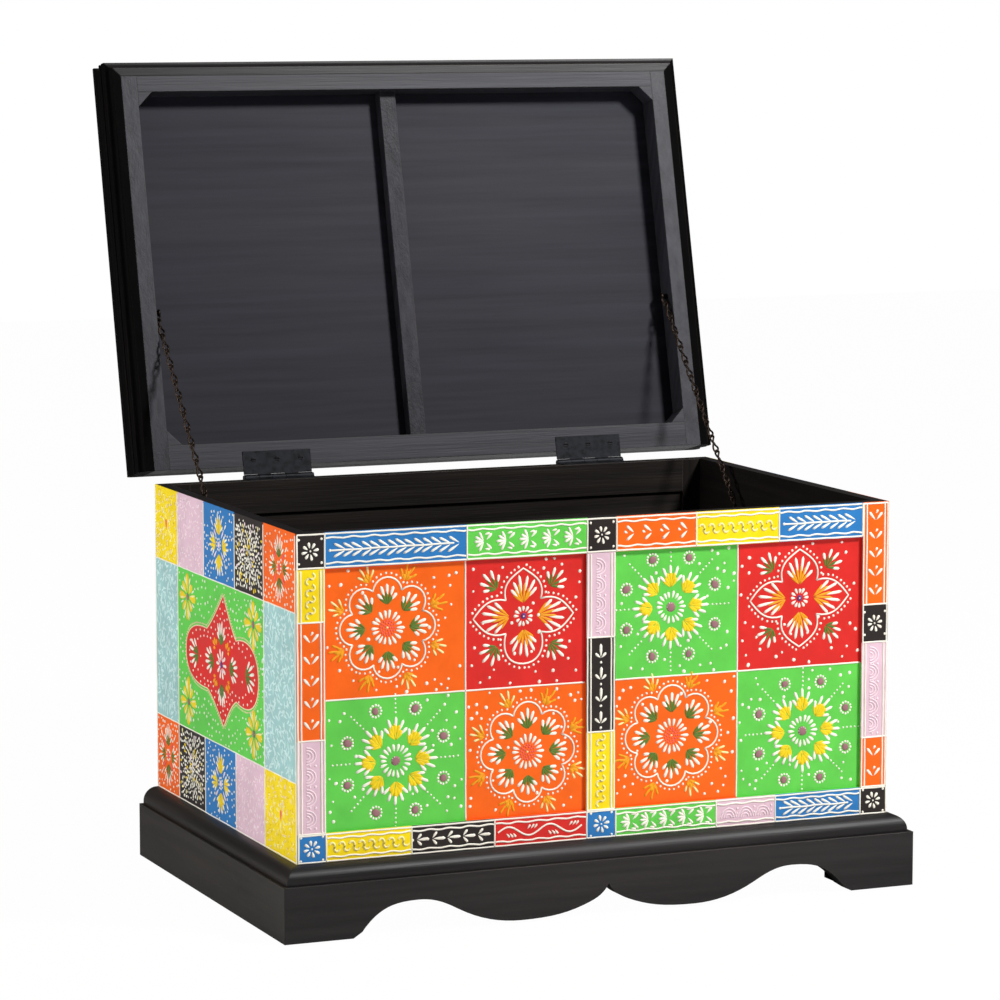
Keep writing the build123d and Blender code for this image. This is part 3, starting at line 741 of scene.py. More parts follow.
def scallops(strip):
    for s in strip.steps(17, 4):
        for r in (2.6, 5.0, 7.4):
            arc = [(s + r * math.cos(a), -4.5 + r * math.sin(a) * 1.15)
                   for a in [math.pi * i / 8 for i in range(9)]]
            strip.line(arc, "pale_pink", 1.4)
        strip.dot(s + 8.5, 3.6, 1.2, "pale_pink")
        strip.dot(s + 8.5, -1.2, 1.0, "pale_pink")


def arrows(strip):
    lean = 1 if strip.upright else -1
    for s in strip.steps(20.5 if strip.upright else 15.5, 3):
        strip.drop(s + lean * 5, 0, math.pi if lean > 0 else 0.0, 11.5, 2.7)
        for side in (1, -1):
            turn = math.pi - side * 0.85 if lean > 0 else side * 0.85
            strip.drop(s + lean * 5.5, side * 0.3, turn, 7.0, 2.3)
        strip.dot(s + lean * 9.4, 0, 1.2)


def vine(strip):
    points = [(3 + i * 2.2, 4.2 * math.sin(i * 2.2 / 6.2)) for i in range(int((strip.length - 5) / 2.2))]
    strip.line(points, "white", 1.3)
    for i, s in enumerate(strip.steps(19.5, 4)):
        side = 1 if i % 2 else -1
        for k in range(3):
            strip.drop(s + 3.2 * k - 3, side * 1.2, side * 0.9, 5.0, 1.8)


def plain_flower(strip):
    u, v = strip.at(strip.length / 2, 0)
    small_flower(strip.pen, u, v, min(strip.half * 0.66, 8.0), min(strip.half, strip.length / 2) * 0.78)


BAND_FIGURES = {
    "flower": plain_flower,
    "fern": fern,
    "sprays": sprays,
    "chevrons": chevrons,
    "scroll": scroll,
    "scallops": scallops,
    "arrows": arrows,
    "vine": vine,
}
print("band figures:", len(BAND_FIGURES))

# %% [markdown]
# ## Painting the front
# The front's plan is a list: for every rail, stile and panel square its colour, its figure and where
# it ends. Drawing from a list keeps the layout readable, and a wrong colour is one word to change.
# White beads run along the edges of every band and across it where two colours meet.

# %% Paint the front
LEFT = side_left / MM
RIGHT = side_right / MM
RAIL_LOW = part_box("front_top_rail")[0].z / MM
BOTTOM_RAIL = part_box("front_bottom_rail")[1].z / MM
PANEL_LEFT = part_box("front_left_stile")[1].x / MM
PANEL_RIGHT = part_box("front_right_stile")[0].x / MM
MUNTIN_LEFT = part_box("front_muntin")[0].x / MM
MUNTIN_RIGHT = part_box("front_muntin")[1].x / MM

TOP_RAIL = [  # colour, figure, right-hand end
    ("black", "flower", PANEL_LEFT), ("blue", "fern", -125.5), ("green", "sprays", -13.1),
    ("black", "flower", 14.5), ("orange", "chevrons", 91.0), ("yellow", "scroll", 172.0),
    ("blue", "fern", PANEL_RIGHT),
]
LOWER_RAIL = [
    ("blue", "flower", PANEL_LEFT), ("yellow", "scroll", -177.0), ("black", "arrows", -100.0),
    ("red", "vine", -13.1), ("blue", "flower", 14.5), ("green", "sprays", 112.0),
    ("pink", "scallops", 170.0), ("blue", "fern", PANEL_RIGHT), ("black", "flower", RIGHT),
]
LEFT_STILE = [  # colour, figure, lower end
    ("yellow", "scroll", 270.0), ("orange", "chevrons", 169.0), ("pink", "scallops", BOTTOM_RAIL),
]
MUNTIN = [
    ("pink", "scallops", 241.0), ("black", "arrows", 158.0), ("yellow", "scroll", BOTTOM_RAIL),
]
RIGHT_STILE = [
    ("orange", "chevrons", 254.0), ("black", "flower", 220.0), ("pink", "scallops", 134.0),
    ("orange", "chevrons", BOTTOM_RAIL),
]
PANEL_SPLIT_Z = 202.0   # where a panel's upper squares meet the lower ones
LEFT_SPLIT = -126.0      # where the left panel's squares meet side by side
RIGHT_SPLIT = 133.0
SQUARES = [  # left, right, low, high, colour, figure, centre and shape
    (PANEL_LEFT, LEFT_SPLIT, PANEL_SPLIT_Z, RAIL_LOW, "orange", rosette, (-197.5, 261.0, 43.5)),
    (LEFT_SPLIT, MUNTIN_LEFT, PANEL_SPLIT_Z, RAIL_LOW, "red", four_petals,
     (-72.0, 263.5, 41.5, 1.13, (2,))),
    (PANEL_LEFT, LEFT_SPLIT, BOTTOM_RAIL, PANEL_SPLIT_Z, "green", burst, (-190.5, 146.0, 48.5)),
    (LEFT_SPLIT, MUNTIN_LEFT, BOTTOM_RAIL, PANEL_SPLIT_Z, "orange", rosette, (-68.0, 144.5, 44.0)),
    (MUNTIN_RIGHT, RIGHT_SPLIT, PANEL_SPLIT_Z, RAIL_LOW, "green", burst, (68.0, 263.0, 47.0)),
    (RIGHT_SPLIT, PANEL_RIGHT, PANEL_SPLIT_Z, RAIL_LOW, "red", four_petals,
     (194.0, 263.5, 43.5, 1.12)),
    (MUNTIN_RIGHT, RIGHT_SPLIT, BOTTOM_RAIL, PANEL_SPLIT_Z, "orange", rosette, (69.5, 149.0, 44.8)),
    (RIGHT_SPLIT, PANEL_RIGHT, BOTTOM_RAIL, PANEL_SPLIT_Z, "green", burst, (198.0, 144.0, 47.5)),
]


BAND_END = 2.0     # width of the bead where two bands meet, mm
BAND_SIDE = 1.5    # width of the thinner beads inside a band
STILE_EDGE = 2.1   # and of those along the edges of stiles and squares
RAIL_TOP = 2.4     # and of the one along the top of a rail


def across_rail(pen, bands, low, high, first):
    """A horizontal run of bands, with its beads."""
    u = first
    for colour, figure, end in bands:
        field("front", colour, u, end, low, high)
        inner = 5.0 if figure != "flower" else 0.0
        BAND_FIGURES[figure](Strip(pen, u, end, low + inner, high - inner))
        straight(pen, end, low + 0.8, end, high - 0.8, BAND_END)
        if figure != "flower":
            straight(pen, u + 1, high - 4.9, end - 1, high - 4.9, BAND_SIDE, 0.5)
            straight(pen, u + 1, low + 4.6, end - 1, low + 4.6, BAND_SIDE, 0.5)
        u = end
    straight(pen, first + 1.0, high - 1.3, u - 1.0, high - 1.3, RAIL_TOP)
    straight(pen, first + 1.0, low + 1.0, u - 1.0, low + 1.0, BAND_END)


def down_stile(pen, bands, left, right, top):
    """An upright run of bands, with its beads."""
    v = top
    for colour, figure, end in bands:
        field("front", colour, left, right, end, v)
        BAND_FIGURES[figure](Strip(pen, left + 4.5, right - 4.5, end, v)
                             if figure != "flower" else Strip(pen, left, right, end, v))
        straight(pen, left + 0.8, end, right - 0.8, end, BAND_END)
        if figure != "flower":
            straight(pen, left + 4.2, end + 1, left + 4.2, v - 1, BAND_SIDE)
            straight(pen, right - 4.0, end + 1, right - 4.0, v - 1, BAND_SIDE)
        v = end
    for u in (left + 1.1, right - 1.1):
        straight(pen, u, v, u, top - 0.6, STILE_EDGE)


frame_pen = Pen("front")
across_rail(frame_pen, TOP_RAIL, RAIL_LOW, RIM, LEFT)
across_rail(frame_pen, LOWER_RAIL, PLINTH_TOP, BOTTOM_RAIL, LEFT)
down_stile(frame_pen, LEFT_STILE, LEFT, PANEL_LEFT, RAIL_LOW)
down_stile(frame_pen, MUNTIN, MUNTIN_LEFT, MUNTIN_RIGHT, RAIL_LOW)
down_stile(frame_pen, RIGHT_STILE, PANEL_RIGHT, RIGHT, RIM)
straight(frame_pen, LEFT + 1.1, RAIL_LOW, LEFT + 1.1, RIM - 1.5, STILE_EDGE)
straight(frame_pen, LEFT + 1.1, PLINTH_TOP + 0.6, LEFT + 1.1, BOTTOM_RAIL, STILE_EDGE)
straight(frame_pen, PANEL_RIGHT, RIM - 1.3, RIGHT - 1.0, RIM - 1.3, 2.2)

for u0, u1, v0, v1, colour, figure, place in SQUARES:
    pen = Pen("front", panel_level)
    field("front", colour, u0, u1, v0, v1, panel_level)
    if u0 in (PANEL_LEFT, MUNTIN_RIGHT):
        reveal("front", colour, u0 - 0.1, u0 + 0.25, v0, v1, panel_level)
    if u1 in (MUNTIN_LEFT, PANEL_RIGHT):
        reveal("front", colour, u1 - 0.25, u1 + 0.1, v0, v1, panel_level)
    if v0 == BOTTOM_RAIL:
        reveal("front", colour, u0, u1, v0 - 0.1, v0 + 0.25, panel_level)
    else:
        reveal("front", colour, u0, u1, v1 - 0.25, v1 + 0.1, panel_level)
    figure(pen, *place)
    scatter(pen, u0, u1, v0, v1, 30, 5.8, 1.4)
panel_pen = Pen("front", panel_level)
for left, right, split in ((PANEL_LEFT, MUNTIN_LEFT, LEFT_SPLIT), (MUNTIN_RIGHT, PANEL_RIGHT, RIGHT_SPLIT)):
    straight(panel_pen, left + 0.5, PANEL_SPLIT_Z, right - 0.5, PANEL_SPLIT_Z, STILE_EDGE)
    straight(panel_pen, split, BOTTOM_RAIL + 0.5, split, RAIL_LOW - 0.5, STILE_EDGE)
print("front: strokes", sum(len(v) for k, v in strokes.items() if k[0] == "front"))

# %% [markdown]
# ## Painting the sides
# Each side is a patchwork of three rows. The squares of the top and bottom rows are closely covered in
# small strokes. The large green square in the middle carries a red four-lobed shape, laid on as a
# second coat, with yellow flowers in its corners. Distances run from the front edge of the chest, so
# one function paints the left side, and the same one, mirrored, the right.

# %% Figures for the sides
LOW_ROW = 133.0    # top of the lower row of squares, mm above the ground
HIGH_ROW = 278.5   # foot of the upper row
ROWS = (PLINTH_TOP, LOW_ROW, HIGH_ROW, RIM)
COLUMNS = (0.0, 79.5, 154.0, 237.0, 310.0, DEPTH)


def dapples(pen, u0, u1, v0, v1, colours, gap, length, width, clear=0.0):
    """Short strokes that cover a square evenly, at every angle."""
    mid_u, mid_v = (u0 + u1) / 2, (v0 + v1) / 2
    v = v0 + gap * 0.7
    row = 0
    while v < v1 - gap * 0.4:
        u = u0 + gap * (0.7 if row % 2 else 1.1)
        while u < u1 - gap * 0.5:
            if math.hypot(u - mid_u, v - mid_v) > clear:
                pen.drop(u - length * 0.3 + draw.uniform(-0.8, 0.8), v + draw.uniform(-0.8, 0.8),
                         draw.uniform(0, math.tau), length, width, draw.choice(colours), 0.35)
            u += gap
        v += gap * 0.9
        row += 1


def bouquet(pen, u, v, size, shade, heart):
    """Four fans round a small flower, with short strokes between them."""
    for k in range(4):
        turn = math.pi / 2 * k
        reach = size * (1.0 if k % 2 else 0.86)
        fan(pen, u, v, turn, size * 0.26, 6, 98, reach * 0.66, 2.1, shade)
        if shade == "lemon":
            fan(pen, u, v, turn, size * 0.26, 4, 72, reach * 0.58, 3.4, None, shade)
        pen.ray(u, v, turn + math.pi / 4, size * 0.26, size * 0.34, 2.2, heart)
        pen.ray(u, v, turn + math.pi / 4, size * 0.66, size * 0.26, 1.8)
    ring(pen, u, v, 5.0, 9, 1.2)
    pen.dot(u, v, 3.0, heart, 0.6)


def leafy(pen, u0, u1, v0, v1):
    """Small leaves and dots that crowd a square, closer together towards its middle."""
    mid_u, mid_v = (u0 + u1) / 2, (v0 + v1) / 2
    shades = ("white",) * 9 + ("pale_pink", "cream", "lemon")
    placed = []
    for _ in range(3600):
        u = draw.uniform(u0 + 4.5, u1 - 4.5)
        v = draw.uniform(v0 + 4.5, v1 - 4.5)
        far = max(abs(u - mid_u) / (u1 - mid_u), abs(v - mid_v) / (v1 - mid_v))
        gap = 2.8 + 2.2 * far ** 2
        if any(math.hypot(u - a, v - b) < gap for a, b in placed):
            continue
        placed.append((u, v))
        out = math.atan2(v - mid_v, u - mid_u) + draw.uniform(-0.9, 0.9)
        if draw.random() < 0.25:
            pen.dot(u, v, 1.1)
        else:
            pen.ray(u, v, out, -2.3, 5.2, 2.5, draw.choice(shades), 0.4)


def yellow_flower(pen, u, v, size):
    for k in range(8):
        turn = math.tau * k / 8
        reach = size * (0.84 if k % 2 == 0 else 0.62)
        pen.ray(u, v, turn, size * 0.16, reach, 7.8 if k % 2 == 0 else 6.2, "lemon", 0.4)
        pen.ray(u, v, turn + 0.16, size * 0.24, reach * 0.8, 2.0, "cream", 0.7)
        pen.ray(u, v, turn + 0.39, size * 0.5, size * 0.36, 1.9, "white")
    pen.dot(u, v, 3.4, "bead", 0.7)
    ring(pen, u, v, 1.9, 6, 0.7, "pale_pink")


LOBE_REACH = 97   # from the middle of the red shape to the end of each round lobe, mm
NOTCH = (39, 27)  # where a lobe meets a point, mm from the middle
LOBE_LEAN = 6     # how far the two points stray towards the chest's front, mm
TIP_HIGH = 63     # from the middle to the upper point, mm
TIP_LOW = 55      # and to the lower one
FRONT_LOBE = 31   # half the height of the front lobe, mm
REAR_LOBE = 26    # and of the rear one


def lobed_outline(u, v, way):
    """The shape in the middle of a side: a point above and below, a broad round lobe at each end,
    the lower point shorter and the rear lobe narrower, as the painter left them."""

    def quarter(tip, bulge):
        points = bezier((0, tip), (12, tip * 0.8), (25, tip * 0.57), NOTCH, 10)
        return points + bezier(NOTCH, (60, bulge + 2), (LOBE_REACH, bulge), (LOBE_REACH, 0), 12)

    points = quarter(TIP_HIGH, FRONT_LOBE) + [(LOBE_REACH, 0)]
    points += [(x, -y) for x, y in quarter(TIP_LOW, FRONT_LOBE)[:0:-1]] + [(0, -TIP_LOW)]
    points += [(-x, -y) for x, y in quarter(TIP_LOW, REAR_LOBE)[1:]] + [(-LOBE_REACH, 0)]
    points += [(-x, y) for x, y in quarter(TIP_HIGH, REAR_LOBE)[:0:-1]]
    points = [(x + LOBE_LEAN * max(0, abs(y) - NOTCH[1]) / 36, y) for x, y in points]
    if way > 0:
        points = [(-x, y) for x, y in points[::-1]]
    return [(u + x, v + y) for x, y in points]


print("side figures ready")

# %% [markdown]
# ## Laying out a side
# The squares of a row stand in one order above and in the opposite order below. The red shape is a
# second coat, so the strokes on it are lifted by one coat as well. Loose dots come last, because they
# keep clear of everything that the pen has drawn before.

# %% Lay out the sides
def paint_side(face, way):
    """way is 1 where distances from the front run with u, and -1 where they run against it."""

    def span(column, columns=1):
        ends = sorted((way * COLUMNS[column], way * COLUMNS[column + columns]))
        return ends[0], ends[1]

    def square(colour, column, row, columns=1):
        u0, u1 = span(column, columns)
        field(face, colour, u0, u1, ROWS[row], ROWS[row + 1])
        return u0, u1, ROWS[row], ROWS[row + 1], (u0 + u1) / 2, (ROWS[row] + ROWS[row + 1]) / 2

    for row, order in ((2, ("orange", "black", "blue", "pink", "yellow")),
                       (0, ("yellow", "pink", "blue", "black", "orange"))):
        for column, colour in enumerate(order):
            pen = Pen(face)
            u0, u1, v0, v1, mu, mv = square(colour, column, row)
            if colour in ("orange", "blue"):
                bouquet(pen, mu, mv, 31, "leaf" if colour == "orange" else "lemon",
                        "coral" if colour == "orange" else "pale_pink")
                scatter(pen, u0, u1, v0, v1, 60, 4.2, 1.15)
            elif colour == "black":
                leafy(pen, u0, u1, v0, v1)
            elif colour == "pink":
                dapples(pen, u0, u1, v0, v1, ("pale_pink",), 6.0, 5.0, 1.7)
            else:
                dapples(pen, u0, u1, v0, v1, ("cream", "cream", "lemon", "beige"), 5.6, 5.4, 1.9, 9)
                for k in range(6):
                    turn = math.tau * k / 6 + math.pi / 2
                    pen.ray(mu, mv, turn, 4.5, 7.0, 2.6, "cream")
                pen.drop(mu, mv - 5, math.pi / 2, 10, 3.6, "coral")

    for column in (0, 4):
        pen = Pen(face)
        u0, u1, v0, v1, mu, mv = square("aqua", column, 1)
        dapples(pen, u0, u1, v0, v1, ("pale_aqua",), 5.4, 7.6, 2.0)

    pen = Pen(face)
    u0, u1, v0, v1, mu, mv = square("green", 1, 1, 3)
    mu -= way * 4.5
    outline = lobed_outline(mu, mv, way)
    coat_piece(face, outline, "red")
    pen.line(outline + [outline[0]], "beige", 1.5)
    dots_beside(pen, outline[::-1], 2.6, 3.0, 0.9, "beige")
    pen.level += COAT
    for k in range(4):
        turn = math.pi / 2 * k
        out = 17 if k % 2 else 20
        fan(pen, mu, mv, turn, out, 6, 88, 22 if k % 2 else 24, 3.0, "leaf")
        fan(pen, mu, mv, turn + math.pi / 4, 18, 4, 90, 12, 3.2, None, "amber")
        if k % 2 == 0:
            fan(pen, mu, mv, turn, 62, 6, 96, 26, 3.1, "leaf")
    sun(pen, mu, mv, 5.0, 14.0, 10, 3.0, "white")
    sun(pen, mu, mv, 3.0, 8.0, 7, 2.4, "pale_pink")
    pen.dot(mu, mv, 3.2, "violet", 0.6)
    for a, b in outline[::2]:
        for share in (0.90, 0.74):
            pu, pv = mu + (a - mu) * share, mv + (b - mv) * share
            if all(math.hypot(pu - c, pv - d) > 4.4 for c, d in pen.taken):
                pen.dot(pu, pv, 1.15)
    pen.level -= COAT
    for du in (-1, 1):
        for dv in (-1, 1):
            yellow_flower(pen, (u0 + u1) / 2 + du * 88, mv + dv * 48, 23)
    for share in (0.05, 0.2, 0.35, 0.5, 0.65, 0.8, 0.92, 1.0):
        pen.taken += [(a * share + mu * (1 - share), b * share + mv * (1 - share)) for a, b in outline]
    scatter(pen, u0, u1, v0, v1, 150, 5.4, 1.15, "white")

    pen = Pen(face)
    ends = sorted((0.0, way * COLUMNS[-1]))
    for v in (PLINTH_TOP + 1.0, LOW_ROW, HIGH_ROW):
        straight(pen, ends[0] + 1, v, ends[1] - 1, v, 1.6)
    for index, distance in enumerate(COLUMNS):
        u = way * min(max(distance, 1.0), COLUMNS[-1] - 1.0)
        straight(pen, u, PLINTH_TOP + 1, u, LOW_ROW, 1.4)
        straight(pen, u, HIGH_ROW, u, RIM - 1.8, 1.4)
        if index in (0, 1, 4, 5):
            straight(pen, u, LOW_ROW, u, HIGH_ROW, 1.4)


def coat_piece(face, outline, colour):
    """A second coat of paint with a shaped outline."""
    mid_u = sum(p[0] for p in outline) / len(outline)
    mid_v = sum(p[1] for p in outline) / len(outline)
    n = len(outline)
    verts = [(mid_u, mid_v, 0.0), (mid_u, mid_v, 2 * COAT)]
    verts += [(u, v, 0.0) for u, v in outline]
    verts += [(u, v, 2 * COAT) for u, v in outline]
    faces = []
    for i in range(n):
        j = (i + 1) % n
        faces.append((0, 2 + i, 2 + j))
        faces.append((1, 2 + n + j, 2 + n + i))
        faces.append((2 + j, 2 + i, 2 + n + i, 2 + n + j))
    piece_from(f"{face}_{colour}_shape", verts, faces, paints[colour], "chest",
               CANVAS[face])


paint_side("left", -1)
paint_side("right", 1)
build_fields()
print("sides: strokes", sum(len(v) for k, v in strokes.items() if k[0] != "front"))

# %% [markdown]
# ## Geometry Nodes for the strokes
# Two small trees turn the pen's notes into paint. The first puts a tapered, flattened dome on every
# point, sized and turned by attributes of that point. The second sweeps a round bead along every line
# and closes its ends. Instances would be lighter still, but they are made real at the end, because an
# exported model has to hold them.

# %% Stroke trees
def new_tree(name, inputs):
    """An empty node tree with named inputs. Returns the tree, its ends and the inputs' identifiers."""
    tree = bpy.data.node_groups.new(name, "GeometryNodeTree")
    tree.interface.new_socket("Geometry", in_out="INPUT", socket_type="NodeSocketGeometry")
    ids = {}
    for label, kind, value in inputs:
        socket = tree.interface.new_socket(label, in_out="INPUT", socket_type=kind)
        if value is not None:
            socket.default_value = value
        ids[label] = socket.identifier
    tree.interface.new_socket("Geometry", in_out="OUTPUT", socket_type="NodeSocketGeometry")
    return tree, tree.nodes.new("NodeGroupInput"), tree.nodes.new("NodeGroupOutput"), ids


def close_tree(tree, geometry, material, group_out):
    smooth = add(tree, "GeometryNodeSetShadeSmooth", {"Geometry": geometry}).outputs[0]
    dressed = add(tree, "GeometryNodeSetMaterial", {"Geometry": smooth, "Material": material}).outputs[0]
    tree.links.new(dressed, group_out.inputs[0])


def drop_tree():
    tree, given, out, ids = new_tree("piped drops", [
        ("Sides", "NodeSocketInt", 8),
        ("Rings", "NodeSocketInt", 5),
        ("Taper", "NodeSocketFloat", 0.0),
        ("Paint", "NodeSocketMaterial", None),
    ])
    ball = add(tree, "GeometryNodeMeshUVSphere",
               {"Segments": given.outputs["Sides"], "Rings": given.outputs["Rings"], "Radius": 1.0})
    place = add(tree, "GeometryNodeInputPosition").outputs[0]
    parts = add(tree, "ShaderNodeSeparateXYZ", {0: place}).outputs
    lean = math_node(tree, "MULTIPLY", parts[0], given.outputs["Taper"])
    widen = math_node(tree, "ADD", lean, 1.0)
    width = math_node(tree, "MULTIPLY", parts[1], widen)
    height = math_node(tree, "MULTIPLY", parts[2], widen)
    tapered = add(tree, "ShaderNodeCombineXYZ", {0: parts[0], 1: width, 2: height}).outputs[0]
    drop = add(tree, "GeometryNodeSetPosition",
               {"Geometry": ball.outputs["Mesh"], "Position": tapered}).outputs[0]
    size = add(tree, "GeometryNodeInputNamedAttribute", {"Name": "size"}, data_type="FLOAT_VECTOR").outputs[0]
    turn = add(tree, "GeometryNodeInputNamedAttribute", {"Name": "turn"}, data_type="FLOAT_VECTOR").outputs[0]
    rotation = add(tree, "FunctionNodeEulerToRotation", {0: turn}).outputs[0]
    placed = add(tree, "GeometryNodeInstanceOnPoints",
                 {"Points": given.outputs["Geometry"], "Instance": drop, "Rotation": rotation, "Scale": size})
    real = add(tree, "GeometryNodeRealizeInstances", {"Geometry": placed.outputs[0]}).outputs[0]
    close_tree(tree, real, given.outputs["Paint"], out)
    return tree, ids


def bead_tree():
    tree, given, out, ids = new_tree("piped beads", [
        ("Width", "NodeSocketFloat", 1.2),
        ("Sides", "NodeSocketInt", 6),
        ("Paint", "NodeSocketMaterial", None),
    ])
    curve = add(tree, "GeometryNodeMeshToCurve", {"Mesh": given.outputs["Geometry"]}).outputs[0]
    radius = math_node(tree, "MULTIPLY", given.outputs["Width"], 0.5)
    profile = add(tree, "GeometryNodeCurvePrimitiveCircle",
                  {"Resolution": given.outputs["Sides"], "Radius": radius}).outputs[0]
    swept = add(tree, "GeometryNodeCurveToMesh",
                {"Curve": curve, "Profile Curve": profile, "Fill Caps": True}).outputs[0]
    close_tree(tree, swept, given.outputs["Paint"], out)
    return tree, ids


def made_by(tree, name, mesh, settings):
    """Runs a node tree on a mesh and returns the result as a plain mesh object."""
    obj = new_object(name, mesh)
    modifier = obj.modifiers.new("made", "NODES")
    modifier.node_group = tree
    for identifier, value in settings.items():
        modifier[identifier] = value
    depsgraph = bpy.context.evaluated_depsgraph_get()
    made = bpy.data.meshes.new_from_object(obj.evaluated_get(depsgraph))
    obj.modifiers.clear()
    obj.data = made
    made.name = name
    return obj


drops_tree, drop_ids = drop_tree()
beads_tree, bead_ids = bead_tree()
print("stroke trees ready")

# %% [markdown]
# ## Pipe the strokes
# The notes are grouped by face, kind and colour. Each group becomes one mesh of bare points or edges,
# goes through its tree, and is then laid on its face with the canvas matrix.

# %% Pipe the strokes
def points_mesh(name, marks):
    mesh = bpy.data.meshes.new(name)
    mesh.from_pydata([(u, v, w) for u, v, w, *_ in marks], [], [])
    size = mesh.attributes.new("size", "FLOAT_VECTOR", "POINT")
    turn = mesh.attributes.new("turn", "FLOAT_VECTOR", "POINT")
    for i, (_, _, _, angle, half_length, half_width, rise) in enumerate(marks):
        size.data[i].vector = (half_length, half_width, rise)
        turn.data[i].vector = (0.0, 0.0, angle)
    return mesh


def edges_mesh(name, lines):
    verts = []
    edges = []
    for points, w, _ in lines:
        start = len(verts)
        closed = math.dist(points[0], points[-1]) < 1e-6
        used = points[:-1] if closed else points
        verts += [(u, v, w) for u, v in used]
        edges += [(start + i, start + i + 1) for i in range(len(used) - 1)]
        if closed:
            edges.append((start + len(used) - 1, start))
    mesh = bpy.data.meshes.new(name)
    mesh.from_pydata(verts, edges, [])
    return mesh


TAPER = {"dots": 0.0, "drops": 0.62}
piped = 0
for (face, kind, colour), marks in sorted(strokes.items()):
    name = f"{face}_{colour}_{kind}"
    if kind == "lines":
        width = sum(m[2] for m in marks) / len(marks)
        obj = made_by(beads_tree, name, edges_mesh(name, marks),
                      {bead_ids["Width"]: width, bead_ids["Paint"]: paints[colour]})
    else:
        rings = 4 if kind == "dots" else 5
        obj = made_by(drops_tree, name, points_mesh(name, marks),
                      {drop_ids["Taper"]: TAPER[kind], drop_ids["Rings"]: rings,
                       drop_ids["Paint"]: paints[colour]})
    obj.data.transform(CANVAS[face])
    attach(obj, "chest")
    piped += len(marks)
print("strokes piped:", piped)

# %% [markdown]
# ## Twisted chains
# The lid hangs on two light chains whose links are bent out of their plane, so the chain looks like a
# loose rope. A link is a circle stretched to an oval and twisted about its length, swept with a round
# wire. Geometry Nodes repeats it along a line, each link a quarter turn from the last. The frame keeps
# each chain in two lengths, one on each of its screws, and so do these.

# %% Chain tree
def chain_tree():
    tree, given, out, ids = new_tree("twisted chain", [
        ("Links", "NodeSocketInt", 12),
        ("Pitch", "NodeSocketFloat", 0.009),
        ("First", "NodeSocketFloat", 0.00325),
        ("Length", "NodeSocketFloat", 0.0112),
        ("Width", "NodeSocketFloat", 0.0047),
        ("Wire", "NodeSocketFloat", 0.0018),
        ("Twist", "NodeSocketFloat", 1.15),
        ("Metal", "NodeSocketMaterial", None),
    ])
    loop = add(tree, "GeometryNodeCurvePrimitiveCircle", {"Resolution": 18, "Radius": 1.0}).outputs[0]
    parts = add(tree, "ShaderNodeSeparateXYZ", {0: add(tree, "GeometryNodeInputPosition").outputs[0]}).outputs
    half_length = math_node(tree, "MULTIPLY", given.outputs["Length"], 0.5)
    half_width = math_node(tree, "MULTIPLY", given.outputs["Width"], 0.5)
    x = math_node(tree, "MULTIPLY", parts[0], half_length)
    y = math_node(tree, "MULTIPLY", parts[1], half_width)
    angle = math_node(tree, "MULTIPLY", parts[0], given.outputs["Twist"])
    oval = add(tree, "ShaderNodeCombineXYZ",
               {0: x, 1: math_node(tree, "MULTIPLY", y, math_node(tree, "COSINE", angle, 0.0)),
                2: math_node(tree, "MULTIPLY", y, math_node(tree, "SINE", angle, 0.0))}).outputs[0]
    bent = add(tree, "GeometryNodeSetPosition", {"Geometry": loop, "Position": oval}).outputs[0]
    wire = add(tree, "GeometryNodeCurvePrimitiveCircle",
               {"Resolution": 7,
                "Radius": math_node(tree, "MULTIPLY", given.outputs["Wire"], 0.5)}).outputs[0]
    link = add(tree, "GeometryNodeCurveToMesh", {"Curve": bent, "Profile Curve": wire}).outputs[0]
    start = add(tree, "ShaderNodeCombineXYZ", {0: given.outputs["First"]}).outputs[0]
    step = add(tree, "ShaderNodeCombineXYZ", {0: given.outputs["Pitch"]}).outputs[0]
    row = add(tree, "GeometryNodeMeshLine", {"Count": given.outputs["Links"], "Start Location": start,
                                             "Offset": step}, mode="OFFSET").outputs[0]
    index = add(tree, "GeometryNodeInputIndex").outputs[0]
    turn = add(tree, "ShaderNodeCombineXYZ", {0: math_node(tree, "MULTIPLY", index, math.pi / 2)}).outputs[0]
    rotation = add(tree, "FunctionNodeEulerToRotation", {0: turn}).outputs[0]
    placed = add(tree, "GeometryNodeInstanceOnPoints",
                 {"Points": row, "Instance": link, "Rotation": rotation})
    real = add(tree, "GeometryNodeRealizeInstances", {"Geometry": placed.outputs[0]}).outputs[0]
    close_tree(tree, real, given.outputs["Metal"], out)
    return tree, ids


chain_nodes, chain_ids = chain_tree()
print("chain tree ready")

# %% [markdown]
# ## Hang the chains
# The screws' places come from the joints on which each length of chain turns. A chain is straight
# while the lid is open, so its direction is the line between its two screws. The links are spaced so
# that the two lengths meet as two neighbouring links do, a quarter turn apart.

